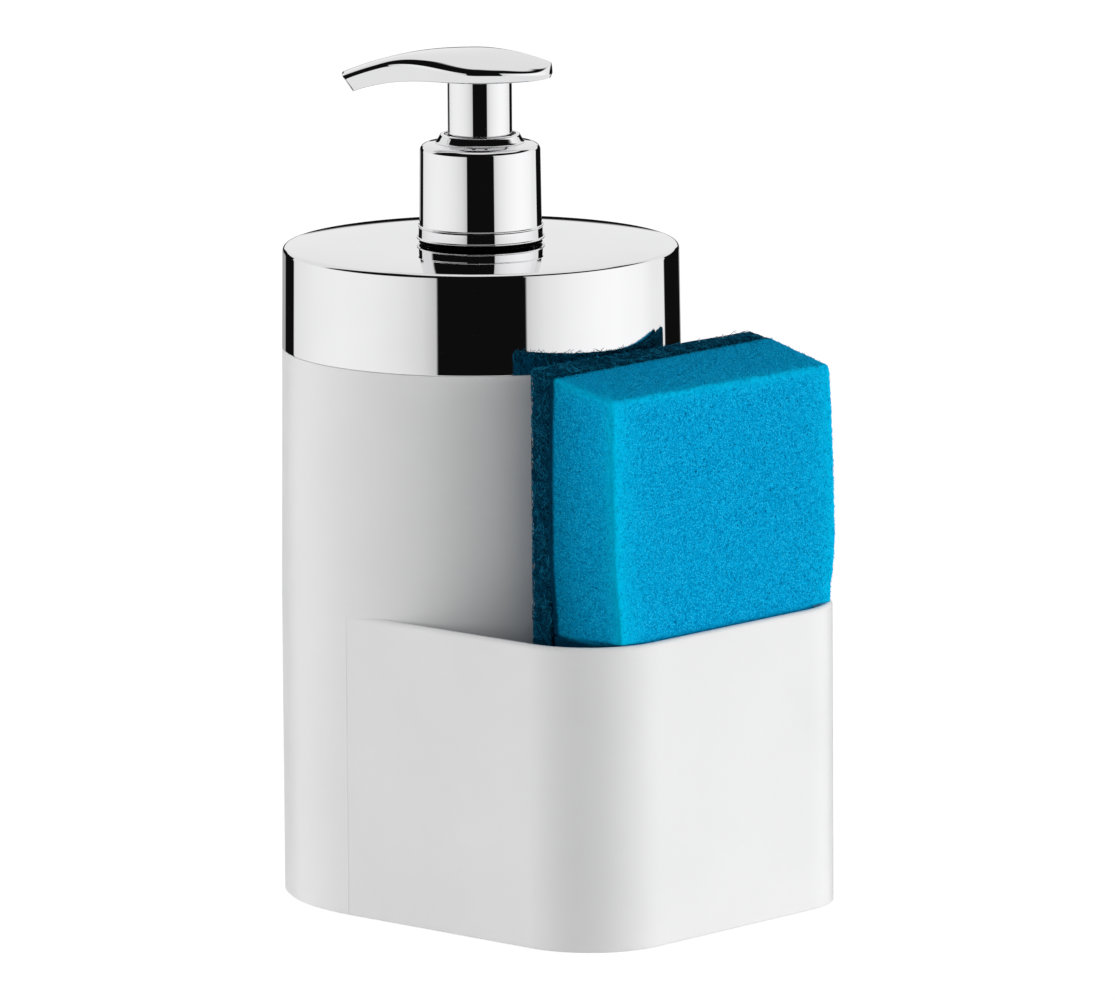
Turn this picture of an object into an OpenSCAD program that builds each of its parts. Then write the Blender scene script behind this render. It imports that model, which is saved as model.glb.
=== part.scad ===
// Soap pump caddy: a round soap tank with a sponge pocket moulded onto its front,
// a bright lid with a threaded neck, a lotion pump with a long drooping nozzle,
// and a two-layer sponge that stands in the pocket.
//
// Frame: millimetres, +Z up. The origin is on the tank's axis at the base, and
// the flat front of the pocket faces -Y.

/* [Tank] */
// Radius of the round tank from the base up to the pocket's rim
tank_r = 50; // [46:0.5:58]
// How much the tank's radius narrows from the pocket's rim to its shoulder
tank_draft = 0.7; // [0.2:0.1:1.4]
// Height of the tank's shoulder, where the lid's skirt stands
shoulder_z = 136; // [115:1:160]
// Thickness of the tank's wall at the base
tank_wall = 3.6; // [3:0.1:4.5]
// Thickness of the tank's flat floor, which the caddy stands on
tank_floor_t = 3; // [2:0.1:6]
// Height of the thin collar that the lid's skirt goes over
collar_h = 10; // [6:0.5:15]
// Thickness of that collar
collar_wall = 1.4; // [1.1:0.1:1.7]

/* [Pocket] */
// Height of the pocket's rim
rim_z = 75; // [55:1:95]
// Outer radius of the pocket's two front corners
pocket_corner_r = 21.5; // [12:0.5:28]
// Thickness of the pocket's wall, and width of its rounded rim
pocket_wall = 2.4; // [1.6:0.1:3.2]
// Height of the top of the pocket's floor
pocket_floor_z = 22.2; // [12:0.2:40]
// Thickness of the pocket's floor, over the open recess under it
pocket_floor_t = 2.4; // [1.6:0.1:4]
// Height of the drain ribs that the sponge stands on
rib_h = 2.5; // [1:0.1:5]
// Width of one drain rib
rib_w = 2; // [1.2:0.1:4]
// Number of drain ribs
rib_count = 5; // [2:1:9]

/* [Sponge] */
// Width of the sponge
sponge_w = 78.5; // [60:0.5:84]
// Height of the sponge at its front face
sponge_h = 110; // [90:1:130]
// Thickness of the foam layer
foam_t = 23.4; // [15:0.1:30]
// Thickness of the scouring layer
pad_t = 6.5; // [4:0.1:10]
// Free space in front of the sponge, behind it and below it
sponge_gap = 0.35; // [0.3:0.05:1.5]
// Rise of the sponge's slanting top from front to back
sponge_rise = 4.7; // [0:0.1:8]
// How far the foam's front is drawn back at its top
foam_pull = 2.2; // [0:0.1:4]
// How far the foam swells sideways at half its height
foam_swell = 0.8; // [0:0.1:2]
// Radius of the foam's soft edges
foam_edge_r = 2.6; // [1:0.1:5]
// Radius of the scouring layer's edges
pad_edge_r = 1; // [0.5:0.1:2]
// Sideways shift of the sponge in the pocket
sponge_shift = 1.75; // [-3:0.25:3]

/* [Lid] */
// Height of the lid from the shoulder to the edge of its top
lid_h = 25; // [18:0.5:35]
// How much the lid's radius narrows from its foot to its top
lid_draft = 0.3; // [0:0.1:1]
// Rise of the lid's top from its edge to its middle
lid_crown = 0.8; // [0.2:0.1:2]
// Radius of the rounding round the lid's top edge
lid_edge_r = 1.1; // [0.3:0.1:2]
// Thickness of the lid's plate and of the upper part of its skirt
lid_wall = 2.2; // [1.8:0.1:3]
// Running clearance between the tank's collar and the lid's skirt
skirt_gap = 0.08; // [0.04:0.01:0.3]
// Thickness of the seal ring on top of the collar
seal_t = 1.2; // [0.8:0.1:2]
// Mean radius of the neck's thread
neck_r = 12.9; // [12.2:0.1:13.4]
// Height of the neck over the lid's top
neck_h = 19.2; // [15:0.2:21]

/* [Closure] */
// Height of the closure's shell
closure_h = 23.4; // [21:0.2:28]
// Gap between the lid's top and the closure
closure_gap = 1.4; // [0.8:0.1:3]
// Outer radius of the shell just over its bead
closure_r = 15.1; // [15:0.1:16]
// Outer radius of the shell at its shoulder
closure_top_r = 14.9; // [14.8:0.1:15]
// Outer radius of the fine lip at the shell's foot
lip_r = 15.85; // [15.7:0.05:17]
// Height of that lip
lip_h = 0.6; // [0.4:0.1:1]
// Outer radius of the straight bead over the lip
bead_r = 15.4; // [15.3:0.05:15.6]
// Height of lip and bead together
bead_h = 3; // [2:0.1:5]
// Size of the fine bevels on the lip and the bead
bead_step = 0.15; // [0.1:0.05:0.2]
// Width of the rounded shoulder at the shell's top
shell_round = 2; // [1:0.1:3]
// Thickness of the shell's wall
shell_wall = 0.8; // [0.6:0.05:1]
// Running clearance of the threaded nut on the neck
thread_gap = 0.1; // [0.05:0.05:0.3]
// Thickness of the nut's top web
web_t = 1.8; // [1.4:0.1:3]
// Thickness of the gasket on the neck
gasket_t = 1.4; // [0.8:0.1:2]

/* [Pump] */
// Stroke of the pump
stroke = 13.8; // [8:0.2:15]
// Height of the lock ring over the closure
ring_h = 2.2; // [1.6:0.1:3]
// Radius of the lock ring's lip
ring_lip_r = 9.9; // [9.7:0.1:10.6]
// Radius of the lock ring's flared foot
ring_flare_r = 11.2; // [10.8:0.1:12]
// Outer radius of the bright sleeve under the head
sleeve_r = 7.95; // [7:0.05:8.1]
// Thickness of the sleeve's wall
sleeve_wall = 0.8; // [0.5:0.1:1.2]
// How deep the sleeve sits in the lock ring at rest
sleeve_engage = 2.5; // [1.5:0.1:4]
// Free space between the sleeve and the lock ring
sleeve_gap = 0.3; // [0.2:0.05:0.5]
// Outer radius of the hollow piston rod
rod_r = 4; // [3.2:0.1:4.4]
// Radius of the rod's channel
rod_bore_r = 2.4; // [1.6:0.1:2.8]
// Radius of the pump's cylinder bore
cylinder_r = 6.5; // [6:0.1:7]
// Thickness of the moulded walls of the pump's housing
housing_wall = 0.9; // [0.7:0.05:1.1]
// Thickness of the housing's flange and inner shoulder
flange_t = 1.6; // [1:0.1:2.2]
// Height of the sliding piston seal
seal_h = 6.5; // [5:0.1:8]
// How far the seal slips along the rod to open its ports
seal_slip = 1; // [0.6:0.1:1.6]
// Wire diameter of the return spring
wire_d = 0.9; // [0.6:0.05:1]
// Outer radius of the return spring
spring_r = 5.4; // [5:0.1:5.8]
// Length of the spring in the pump at rest
spring_len = 24; // [22:0.5:34]
// Number of turns of the spring
spring_turns = 8; // [6:1:9]
// Radius of the inlet ball
ball_r = 2.4; // [2:0.1:2.6]
// Height that the inlet ball can lift
ball_lift = 1.5; // [1:0.1:2.5]
// Outer radius of the dip tube
dip_r = 3.2; // [2.8:0.1:3.4]
// Thickness of the dip tube's wall
dip_wall = 0.9; // [0.6:0.1:1.1]
// Gap between the tank's floor and the dip tube's slanting end
dip_gap = 3; // [1:0.5:10]

/* [Head] */
// Angle of the nozzle round the tank's axis, from +X
nozzle_turn = 132; // [0:1:359]
// Reach of the nozzle's tip from the pump's axis
nozzle_reach = 34; // [28:0.5:45]
// Reach of the head behind the pump's axis
head_back = 18; // [14:0.5:22]
// Half the head's greatest width
head_half_w = 13; // [10:0.25:15]
// Half the nozzle's width
nozzle_half_w = 3.6; // [3:0.1:5]
// Height of the head's crown over its flat underside
head_h = 7.2; // [6.6:0.1:9]
// Fall of the crown from the axis to the nozzle's tip
nozzle_fall = 6; // [4:0.1:7]
// Fall of the crown from the axis to the head's back
back_fall = 5.1; // [3:0.1:5.5]
// Fall of the underside from the axis to the nozzle's tip
nozzle_droop = 3.2; // [2:0.1:5]
// How far the nozzle's end face is cut back at its foot
tip_slant = 2.3; // [0:0.1:3]
// Radius of the nozzle's channel
channel_r = 1.3; // [0.8:0.1:1.4]

/* [Hidden] */
$fn = 96;

// Overrun of every cut past the face that it opens
over = 1;
// Fit between two moulded pieces that are pushed together
fit_gap = 0.05;
// Radial clearance of a piece that slides or turns
run_gap = 0.08;
// Air left between pieces that meet only under load
touch_gap = 0.02;

// Tank and pocket
shoulder_r = tank_r - tank_draft;
tank_bore_r = tank_r - tank_wall;
collar_r = tank_bore_r + collar_wall;
collar_z = shoulder_z + collar_h;
pocket_depth = sponge_gap + pad_t + foam_t + sponge_gap;
pocket_front_y = tank_r + pocket_depth + pocket_wall;
pocket_arc_x = tank_r - pocket_corner_r;
pocket_arc_y = pocket_front_y - pocket_corner_r;
pocket_inner_r = pocket_corner_r - pocket_wall;
rib_top_z = pocket_floor_z + rib_h;
// Depth of a rib, as a share of the pocket's depth
rib_depth_share = 0.9;
// Spread of the ribs, as a share of the tank's diameter
rib_spread_share = 0.5;

// Lid
lid_top_r = shoulder_r - lid_draft;
// Power of the crown's fall: its top stays nearly level till close to the edge
crown_power = 6;
lid_top_z = shoulder_z + lid_h;
lid_mid_z = lid_top_z + lid_crown;
skirt_r = collar_r + skirt_gap;
skirt_upper_r = collar_r - collar_wall * 0.65;
skirt_step_z = collar_z + seal_t;
neck_top_z = lid_mid_z + neck_h;

// Closure, from its foot up
closure_z = lid_mid_z + closure_gap;
closure_top_z = closure_z + closure_h;
bead_top_z = closure_z + bead_h;
shell_bore_r = closure_top_r - shell_wall;
nut_bore_r = neck_r + thread_gap;
nut_top_z = closure_top_z - shell_wall;
web_z = nut_top_z - web_t;
flange_z = neck_top_z + gasket_t;
flange_top_z = flange_z + flange_t;
shoulder_sink = shell_round * 0.15;

// Pump, from the lock ring down to the dip tube
ring_top_z = closure_top_z + ring_h;
ring_bore_r = sleeve_r + sleeve_gap;
ring_tube_r = ring_bore_r + housing_wall;
ring_hole_r = ring_tube_r + sleeve_gap;
ring_sink_r = ring_bore_r + sleeve_gap * 2;
ring_sink_z = ring_top_z - ring_h * 0.7;
sleeve_z = ring_top_z - sleeve_engage;
guide_top_z = sleeve_z - stroke - sleeve_gap * 2;
guide_z = guide_top_z - flange_t;
barrel_r = ring_tube_r + fit_gap;
barrel_outer_r = barrel_r + housing_wall;
neck_bore_r = barrel_outer_r + sleeve_gap;
cylinder_outer_r = cylinder_r + housing_wall;
seal_z = guide_z - sleeve_gap - seal_slip - seal_h;
seat_t = flange_t;
seat_z = seal_z - seat_t;
seat_r = spring_r;
cage_h = flange_t * 2;
cage_top_z = seat_z - spring_len - touch_gap * 2;
cage_z = cage_top_z - cage_h;
cage_hole_r = ball_r * 0.75;
// Half the opening angle of the ball's conical seat
seat_angle = 30;
ball_cap_h = sqrt(ball_r * ball_r - cage_hole_r * cage_hole_r);
ball_z = cage_z - ball_cap_h - ball_lift - touch_gap;
seat_apex_z = ball_z - (ball_r + touch_gap) / sin(seat_angle);
chamber_r = ball_r * 1.25;
inlet_r = ball_r * 0.65;
cone_top_z = seat_apex_z + chamber_r / tan(seat_angle);
cone_z = seat_apex_z + inlet_r / tan(seat_angle);
dip_top_z = cone_z - flange_t;
socket_depth = dip_r * 2.5;
tail_r = dip_r + fit_gap + housing_wall;
tail_z = dip_top_z - socket_depth;
dip_z = tank_floor_t + dip_gap;

// Return spring: rings of its loft in one turn, and sides of its wire
rings_a_turn = 8;
spring_sides = 6;
coil_r = spring_r - wire_d / 2;
spring_pitch = (spring_len - wire_d) / spring_turns;

// Head
head_z = ring_top_z + stroke + sleeve_gap;
head_top_z = head_z + head_h;
socket_top_z = head_z + head_h * 0.55;
// Height of the widest line over the underside, as shares of the local height
head_edge_share = 0.36;
nozzle_edge_share = 0.74;
// Power that squares the nozzle's shoulders, where 1 leaves them elliptic
nozzle_square = 0.4;
// Width of the flat underside, as a share of the local width
head_flat_share = 0.96;
// Reach at which the head has narrowed to its nozzle, and at which it droops
neck_in_share = 0.74;
droop_from_share = 0.3;
// Radius of the channel's inner stretch, as a share of the nozzle's
feed_share = 1.15;
// Numbers of faces of the loft along the head and round its crown
head_steps = 30;
crown_steps = 16;

// Sponge, with the number of facets round each of its upright corners
corner_steps = 5;
sponge_z = rib_top_z + sponge_gap;
pad_back_y = tank_r + sponge_gap;
glue_y = pad_back_y + pad_t;
foam_front_y = glue_y + foam_t;
// Radius of the foam's front corners where the pocket's corners squeeze them
squeeze_r = sponge_w / 2 + foam_swell + abs(sponge_shift) - pocket_arc_x;
// Heights where the foam is free of the rim, and where it has swelled out again
squeeze_z = rim_z + sponge_gap;
free_z = rim_z + pocket_wall * 1.6;

// Smooth step from 0 to 1
function smooth(t) = let (c = min(max(t, 0), 1)) c * c * (3 - 2 * c);

// Triangles of a closed loft of `rings` rings with `n` points each
function loft_faces(rings, n) = concat(
    [for (i = [0:rings - 2]) for (j = [0:n - 1])
        [i * n + j, (i + 1) * n + j, i * n + (j + 1) % n]],
    [for (i = [0:rings - 2]) for (j = [0:n - 1])
        [(i + 1) * n + j, (i + 1) * n + (j + 1) % n, i * n + (j + 1) % n]],
    [for (j = [1:n - 2]) [0, j, j + 1]],
    [for (j = [1:n - 2]) [(rings - 1) * n, (rings - 1) * n + j + 1, (rings - 1) * n + j]]
);

// A tube turned about Z: its foot is at z
module ring(z, h, r_out, r_in) {
    translate([0, 0, z])
        difference() {
            cylinder(h = h, r = r_out);
            translate([0, 0, -over])
                cylinder(h = h + 2 * over, r = r_in);
        }
}

// Section of the pocket's wall: straight sides and a full-round rim
module wall_section() {
    square([pocket_wall, rim_z - pocket_wall / 2]);
    translate([pocket_wall / 2, rim_z - pocket_wall / 2])
        circle(d = pocket_wall);
}

// The space inside the pocket's wall in plan, open to the tank
module pocket_plan() {
    difference() {
        union() {
            translate([-tank_r + pocket_wall, -pocket_arc_y])
                square([2 * (tank_r - pocket_wall), pocket_arc_y]);
            translate([-pocket_arc_x, -pocket_front_y + pocket_wall])
                square([2 * pocket_arc_x, pocket_inner_r + over]);
            for (side = [-1, 1])
                translate([side * pocket_arc_x, -pocket_arc_y])
                    circle(r = pocket_inner_r);
        }
        circle(r = tank_r - tank_wall / 2);
    }
}

module pocket_walls() {
    for (x = [-tank_r, tank_r - pocket_wall])
        translate([x, 0, 0])
            rotate([90, 0, 0])
                linear_extrude(height = pocket_arc_y)
                    wall_section();
    translate([-pocket_arc_x, -pocket_front_y, 0])
        rotate([90, 0, 90])
            linear_extrude(height = 2 * pocket_arc_x)
                wall_section();
    for (side = [-1, 1])
        translate([side * pocket_arc_x, -pocket_arc_y, 0])
            rotate([0, 0, side < 0 ? 180 : 270])
                rotate_extrude(angle = 90)
                    translate([pocket_inner_r, 0])
                        wall_section();
}

module drain_ribs() {
    depth = pocket_depth * rib_depth_share;
    pitch = tank_r * 2 * rib_spread_share / (rib_count - 1);
    for (i = [0:rib_count - 1])
        translate([pitch * (i - (rib_count - 1) / 2) - rib_w / 2,
                   -pocket_front_y + pocket_wall + (pocket_depth - depth) / 2,
                   pocket_floor_z - pocket_floor_t / 2])
            cube([rib_w, depth, rib_h + pocket_floor_t / 2]);
}

// One moulding: tank, collar, pocket walls, pocket floor and its ribs
module caddy_body() {
    color("white")
        difference() {
            union() {
                cylinder(h = rim_z, r = tank_r);
                translate([0, 0, rim_z])
                    cylinder(h = shoulder_z - rim_z, r1 = tank_r, r2 = shoulder_r);
                cylinder(h = collar_z, r = collar_r);
                pocket_walls();
                translate([0, 0, pocket_floor_z - pocket_floor_t])
                    linear_extrude(height = pocket_floor_t)
                        pocket_plan();
                drain_ribs();
            }
            translate([0, 0, tank_floor_t])
                cylinder(h = collar_z, r = tank_bore_r);
        }
}

// Lid: crowned plate, skirt over the collar, and the pump's neck
module lid_cover() {
    edge_z = lid_top_z - lid_edge_r;
    color("silver")
        difference() {
            union() {
                translate([0, 0, shoulder_z])
                    cylinder(h = edge_z - shoulder_z, r1 = shoulder_r, r2 = lid_top_r);
                translate([0, 0, edge_z])
                    rotate_extrude()
                        lid_edge_section();
                translate([0, 0, lid_top_z - lid_wall])
                    cylinder(h = neck_top_z - lid_top_z + lid_wall, r = neck_r);
            }
            translate([0, 0, shoulder_z - over])
                cylinder(h = skirt_step_z - shoulder_z + over, r = skirt_r);
            translate([0, 0, shoulder_z])
                cylinder(h = lid_h - lid_wall, r = skirt_upper_r);
            translate([0, 0, shoulder_z])
                cylinder(h = neck_top_z - shoulder_z + over, r = neck_bore_r);
        }
}

// Half section of the lid's rounded edge and slightly crowned top
module lid_edge_section() {
    flat_r = lid_top_r - lid_edge_r;
    square([flat_r, lid_edge_r]);
    intersection() {
        translate([flat_r, 0])
            circle(r = lid_edge_r);
        square([lid_top_r, lid_edge_r]);
    }
    polygon([
        [0, lid_edge_r * 0.5],
        [flat_r, lid_edge_r * 0.5],
        for (i = [0:crown_steps])
            let (x = flat_r * sqrt(1 - i / crown_steps))
            [x, lid_edge_r + lid_crown * (1 - pow(x / flat_r, crown_power))]
    ]);
}

module lid_seal() {
    color("dimgray")
        ring(collar_z, seal_t, collar_r, tank_bore_r);
}

// Bright shell over the nut: lip, bead, wall and rounded shoulder
module closure_shell() {
    round_z = closure_top_z - shell_round;
    color("silver")
        difference() {
            rotate_extrude()
                polygon([
                    [0, closure_z],
                    [lip_r - bead_step, closure_z],
                    [lip_r, closure_z + bead_step],
                    [lip_r, closure_z + lip_h - bead_step],
                    [bead_r, closure_z + lip_h],
                    [bead_r, bead_top_z - bead_step],
                    [closure_r, bead_top_z],
                    [closure_top_r, round_z],
                    for (a = [15:15:75])
                        [closure_top_r - shell_round * (1 - cos(a)),
                         round_z + (shell_round - shoulder_sink) * sin(a)],
                    [closure_top_r - shell_round, closure_top_z - shoulder_sink],
                    [ring_flare_r, closure_top_z],
                    [0, closure_top_z]
                ]);
            translate([0, 0, closure_z - over])
                cylinder(h = nut_top_z - closure_z + over, r = shell_bore_r);
            translate([0, 0, closure_z])
                cylinder(h = closure_h + over, r = ring_hole_r);
        }
}

// Threaded nut inside the shell, with its thread drawn at the mean radius
module closure_nut() {
    color("whitesmoke") {
        difference() {
            ring(closure_z + bead_step * 2, nut_top_z - closure_z - bead_step * 2,
                 shell_bore_r, ring_hole_r);
            translate([0, 0, closure_z - over])
                cylinder(h = web_z - closure_z + over, r = nut_bore_r);
        }
    }
}

module neck_gasket() {
    color("lightgray")
        ring(neck_top_z, gasket_t, neck_r, barrel_outer_r + fit_gap);
}

// Pump housing: flange, upper barrel, cylinder, ball chamber and dip tube socket
module pump_housing() {
    color("gainsboro")
        difference() {
            union() {
                translate([0, 0, flange_z])
                    cylinder(h = flange_t, r = neck_r);
                translate([0, 0, guide_z - flange_t])
                    cylinder(h = flange_z - guide_z + flange_t * 1.5, r = barrel_outer_r);
                translate([0, 0, cage_z])
                    cylinder(h = guide_z - cage_z, r = cylinder_outer_r);
                translate([0, 0, cone_z])
                    cylinder(h = cage_z - cone_z, r1 = tail_r, r2 = cylinder_outer_r);
                translate([0, 0, tail_z])
                    cylinder(h = cone_z - tail_z + touch_gap, r = tail_r);
            }
            translate([0, 0, guide_z])
                cylinder(h = flange_top_z - guide_z + over, r = barrel_r);
            translate([0, 0, cage_z])
                cylinder(h = guide_z - cage_z + over, r = cylinder_r);
            translate([0, 0, cone_top_z])
                cylinder(h = cage_z - cone_top_z + over, r = chamber_r);
            translate([0, 0, cone_z])
                cylinder(h = cone_top_z - cone_z, r1 = inlet_r, r2 = chamber_r);
            translate([0, 0, tail_z])
                cylinder(h = cone_z - tail_z + over, r = inlet_r);
            translate([0, 0, tail_z - over])
                cylinder(h = socket_depth + over, r = dip_r + fit_gap);
            // Vent that lets air into the tank, under the housing's shoulder
            translate([0, 0, guide_z - flange_t * 2.5])
                rotate([90, 0, 0])
                    cylinder(h = cylinder_outer_r + over, r = channel_r / 2);
        }
}

// Lock ring: lip, flared foot on the closure, and the sleeve's guide tube
module lock_ring() {
    flare_h = ring_h * 0.2;
    color("silver")
        difference() {
            union() {
                translate([0, 0, closure_top_z])
                    rotate_extrude()
                        polygon([
                            [0, 0],
                            [ring_flare_r, 0],
                            [(ring_flare_r + ring_lip_r) / 2, flare_h * 1.5],
                            [ring_lip_r + bead_step, flare_h * 3],
                            [ring_lip_r, ring_h - flare_h],
                            [ring_lip_r - flare_h, ring_h],
                            [0, ring_h]
                        ]);
                translate([0, 0, guide_z])
                    cylinder(h = closure_top_z - guide_z + flare_h, r = ring_tube_r);
            }
            translate([0, 0, guide_top_z])
                cylinder(h = ring_top_z - guide_top_z + over, r = ring_bore_r);
            translate([0, 0, ring_sink_z])
                cylinder(h = ring_top_z - ring_sink_z + over, r = ring_sink_r);
            translate([0, 0, guide_z - over])
                cylinder(h = flange_t + 2 * over, r = rod_r + run_gap);
        }
}

module stem_sleeve() {
    color("silver")
        ring(sleeve_z, head_z - sleeve_z, sleeve_r, sleeve_r - sleeve_wall);
}

// Crown line, underside, half width, share of the widest line, squared shoulders
function crown_z(u) = u > 0
    ? head_top_z - nozzle_fall * pow(u / nozzle_reach, 2)
    : head_top_z - back_fall * pow(-u / head_back, 2.2);
function under_z(u) = head_z
    - nozzle_droop * pow(max((u / nozzle_reach - droop_from_share) / (1 - droop_from_share), 0), 2);
function half_w(u) = u > 0
    ? nozzle_half_w + (head_half_w - nozzle_half_w)
        * (1 + cos(180 * min(u / (nozzle_reach * neck_in_share), 1))) / 2
    : head_half_w * sqrt(max(1 - pow(u / head_back, 2), 0));
function edge_share(u) = head_edge_share
    + (nozzle_edge_share - head_edge_share) * smooth(u / (nozzle_reach * neck_in_share));

function square_power(u) = 1
    - (1 - nozzle_square) * smooth(u / (nozzle_reach * neck_in_share));

// Places of the head's sections along its length, close together at the back
function head_u(i) = let (t = i / head_steps)
    t < 1 / 3 ? -head_back * cos(6 + 252 * t) : nozzle_reach * (t * 3 - 1) / 2;

// One section: a squared half ellipse over the widest line, and a flat underside
function head_section(u) = let (
        w = half_w(u),
        top = crown_z(u),
        low = under_z(u),
        wide = low + edge_share(u) * (top - low),
        slant = tip_slant * pow(max(u / nozzle_reach, 0), 4)
    ) [
        for (p = concat(
            [for (k = [0:crown_steps]) let (a = 180 * k / crown_steps)
                [w * sign(cos(a)) * pow(abs(cos(a)), square_power(u)),
                 wide + (top - wide) * sin(a)]],
            [[-w * head_flat_share, low], [w * head_flat_share, low]]))
            [u - slant * (top - p[1]) / (top - low), p[0], p[1]]
    ];

// Head: one smooth loft from the round back through the drooping nozzle
module pump_head() {
    rings = head_steps + 1;
    tip_z = (under_z(nozzle_reach) + crown_z(nozzle_reach)) / 2;
    bend_u = nozzle_reach * 0.55;
    bend_z = (under_z(bend_u) + crown_z(bend_u)) / 2;
    fall = atan2(bend_z - tip_z, nozzle_reach - bend_u);
    feed_z = socket_top_z - channel_r * 1.5;
    color("silver")
        rotate([0, 0, nozzle_turn])
            difference() {
                polyhedron(
                    points = [for (i = [0:head_steps]) each head_section(head_u(i))],
                    faces = loft_faces(rings, crown_steps + 3)
                );
                translate([0, 0, head_z - over])
                    cylinder(h = socket_top_z - head_z + over, r = rod_r + run_gap);
                translate([bend_u, 0, bend_z])
                    rotate([0, 90 + fall, 0])
                        cylinder(h = nozzle_reach, r = channel_r);
                translate([0, 0, feed_z])
                    rotate([0, atan2(bend_u, bend_z - feed_z), 0])
                        cylinder(h = norm([bend_u, bend_z - feed_z]) + channel_r,
                                 r = channel_r * feed_share);
            }
}

// Two crossing slots through the axis, wide enough to pass the liquid
module cross_slot(z, h) {
    for (a = [0, 90])
        rotate([0, 0, a])
            translate([-seal_slip / 2, -rod_r - over, z])
                cube([seal_slip, 2 * (rod_r + over), h]);
}

// Hollow rod, with a cross slot in its foot that the seal opens and shuts
module piston_rod() {
    rod_top_z = socket_top_z - touch_gap;
    color("white")
        difference() {
            ring(seal_z, rod_top_z - seal_z, rod_r, rod_bore_r);
            cross_slot(seal_z - over, seal_slip + over);
        }
}

// Seat pressed into the rod's foot: its split stud lets the liquid up the rod
module piston_seat() {
    stud_h = seal_h * 0.6;
    color("white") {
        translate([0, 0, seat_z])
            cylinder(h = seat_t, r = seat_r);
        difference() {
            translate([0, 0, seat_z + seat_t / 2])
                cylinder(h = seat_t / 2 + stud_h, r = rod_bore_r - fit_gap);
            cross_slot(seal_z, stud_h + over);
        }
    }
}

// Seal with two wiping lips and a waist between them
module piston_seal() {
    lip_r = cylinder_r - run_gap;
    lip_h = seal_h / 5;
    waist_r = (lip_r + rod_r) / 2;
    color("aliceblue")
        translate([0, 0, seal_z])
            rotate_extrude()
                polygon([
                    [rod_r + run_gap, 0],
                    [waist_r, 0],
                    [lip_r, lip_h / 3],
                    [lip_r, lip_h],
                    [waist_r, lip_h * 2],
                    [waist_r, seal_h - lip_h * 2],
                    [lip_r, seal_h - lip_h],
                    [lip_r, seal_h - lip_h / 3],
                    [waist_r, seal_h],
                    [rod_r + run_gap, seal_h]
                ]);
}

// Return spring: one unbroken tube wound round the axis
function coil_point(i) = let (a = 360 * i / rings_a_turn)
    [coil_r * cos(a), coil_r * sin(a), wire_d / 2 + spring_pitch * i / rings_a_turn];
function coil_ring(i) = let (
        a = 360 * i / rings_a_turn,
        c = coil_point(i),
        out = [cos(a), sin(a), 0]
    ) [
        for (k = [0:spring_sides - 1]) let (b = 360 * k / spring_sides)
            c + wire_d / 2 * (out * cos(b) + [0, 0, 1] * sin(b))
    ];
coil_gap = norm(coil_point(rings_a_turn) - coil_point(0)) - wire_d;
echo(least_gap_between_turns = coil_gap);

module return_spring() {
    rings = spring_turns * rings_a_turn + 1;
    color("lightsteelblue")
        translate([0, 0, cage_top_z + touch_gap])
            polyhedron(
                points = [for (i = [0:rings - 1]) each coil_ring(i)],
                faces = loft_faces(rings, spring_sides)
            );
}

// Cage that stops the ball and carries the spring's foot
module ball_cage() {
    color("white")
        difference() {
            translate([0, 0, cage_z])
                cylinder(h = cage_h, r = cylinder_r - fit_gap);
            translate([0, 0, cage_z - over])
                cylinder(h = cage_h + 2 * over, r = cage_hole_r);
            translate([0, 0, cage_z + cage_h / 3])
                cylinder(h = cage_h, r = chamber_r);
        }
}

module inlet_ball() {
    color("silver")
        translate([0, 0, ball_z])
            sphere(r = ball_r);
}

// Dip tube with a slanting end over the tank's floor
module dip_tube() {
    color("gainsboro")
        difference() {
            ring(dip_z, dip_top_z - dip_z, dip_r, dip_r - dip_wall);
            translate([-dip_r, 0, dip_z])
                rotate([0, 45, 0])
                    translate([-dip_r * 4, -dip_r * 2, -dip_r * 4])
                        cube([dip_r * 8, dip_r * 4, dip_r * 4]);
        }
}

// Outline of a block in plan, clockwise, with front corners of radius front_r
function block_outline(half_w, half_t, r, front_r) = [
    for (q = [3:-1:0]) for (k = [corner_steps:-1:0])
        let (
            a = 90 * (q + k / corner_steps),
            c = (q < 2) ? front_r : r,
            sx = (q == 0 || q == 3) ? 1 : -1,
            sy = (q < 2) ? 1 : -1
        )
        [sx * (half_w - c) + c * cos(a), sy * (half_t - c) + c * sin(a)]
];

// Levels of a soft block: [share of its height, inset at its rounded ends]
function block_levels(h, r) = concat(
    [for (a = [0:30:90]) [r * (1 - cos(a)) / h, r * (1 - sin(a))]],
    [for (t = [0.15:0.1:0.85]) [t, 0]],
    [for (a = [0:30:90]) [1 - r * (1 - sin(a)) / h, r * (1 - cos(a))]]
);

// The foam has two more levels, where the rim lets go of its front corners
function foam_levels() = let (all = block_levels(sponge_h, foam_edge_r)) concat(
    [for (v = all) if (height_at(v[0]) < squeeze_z - rib_h) v],
    [for (z = [squeeze_z, free_z]) [(z - sponge_z) / sponge_h, 0]],
    [for (v = all) if (height_at(v[0]) > free_z + rib_h) v]
);

// Height of a level at the block's front
function height_at(s) = sponge_z + s * sponge_h;

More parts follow.
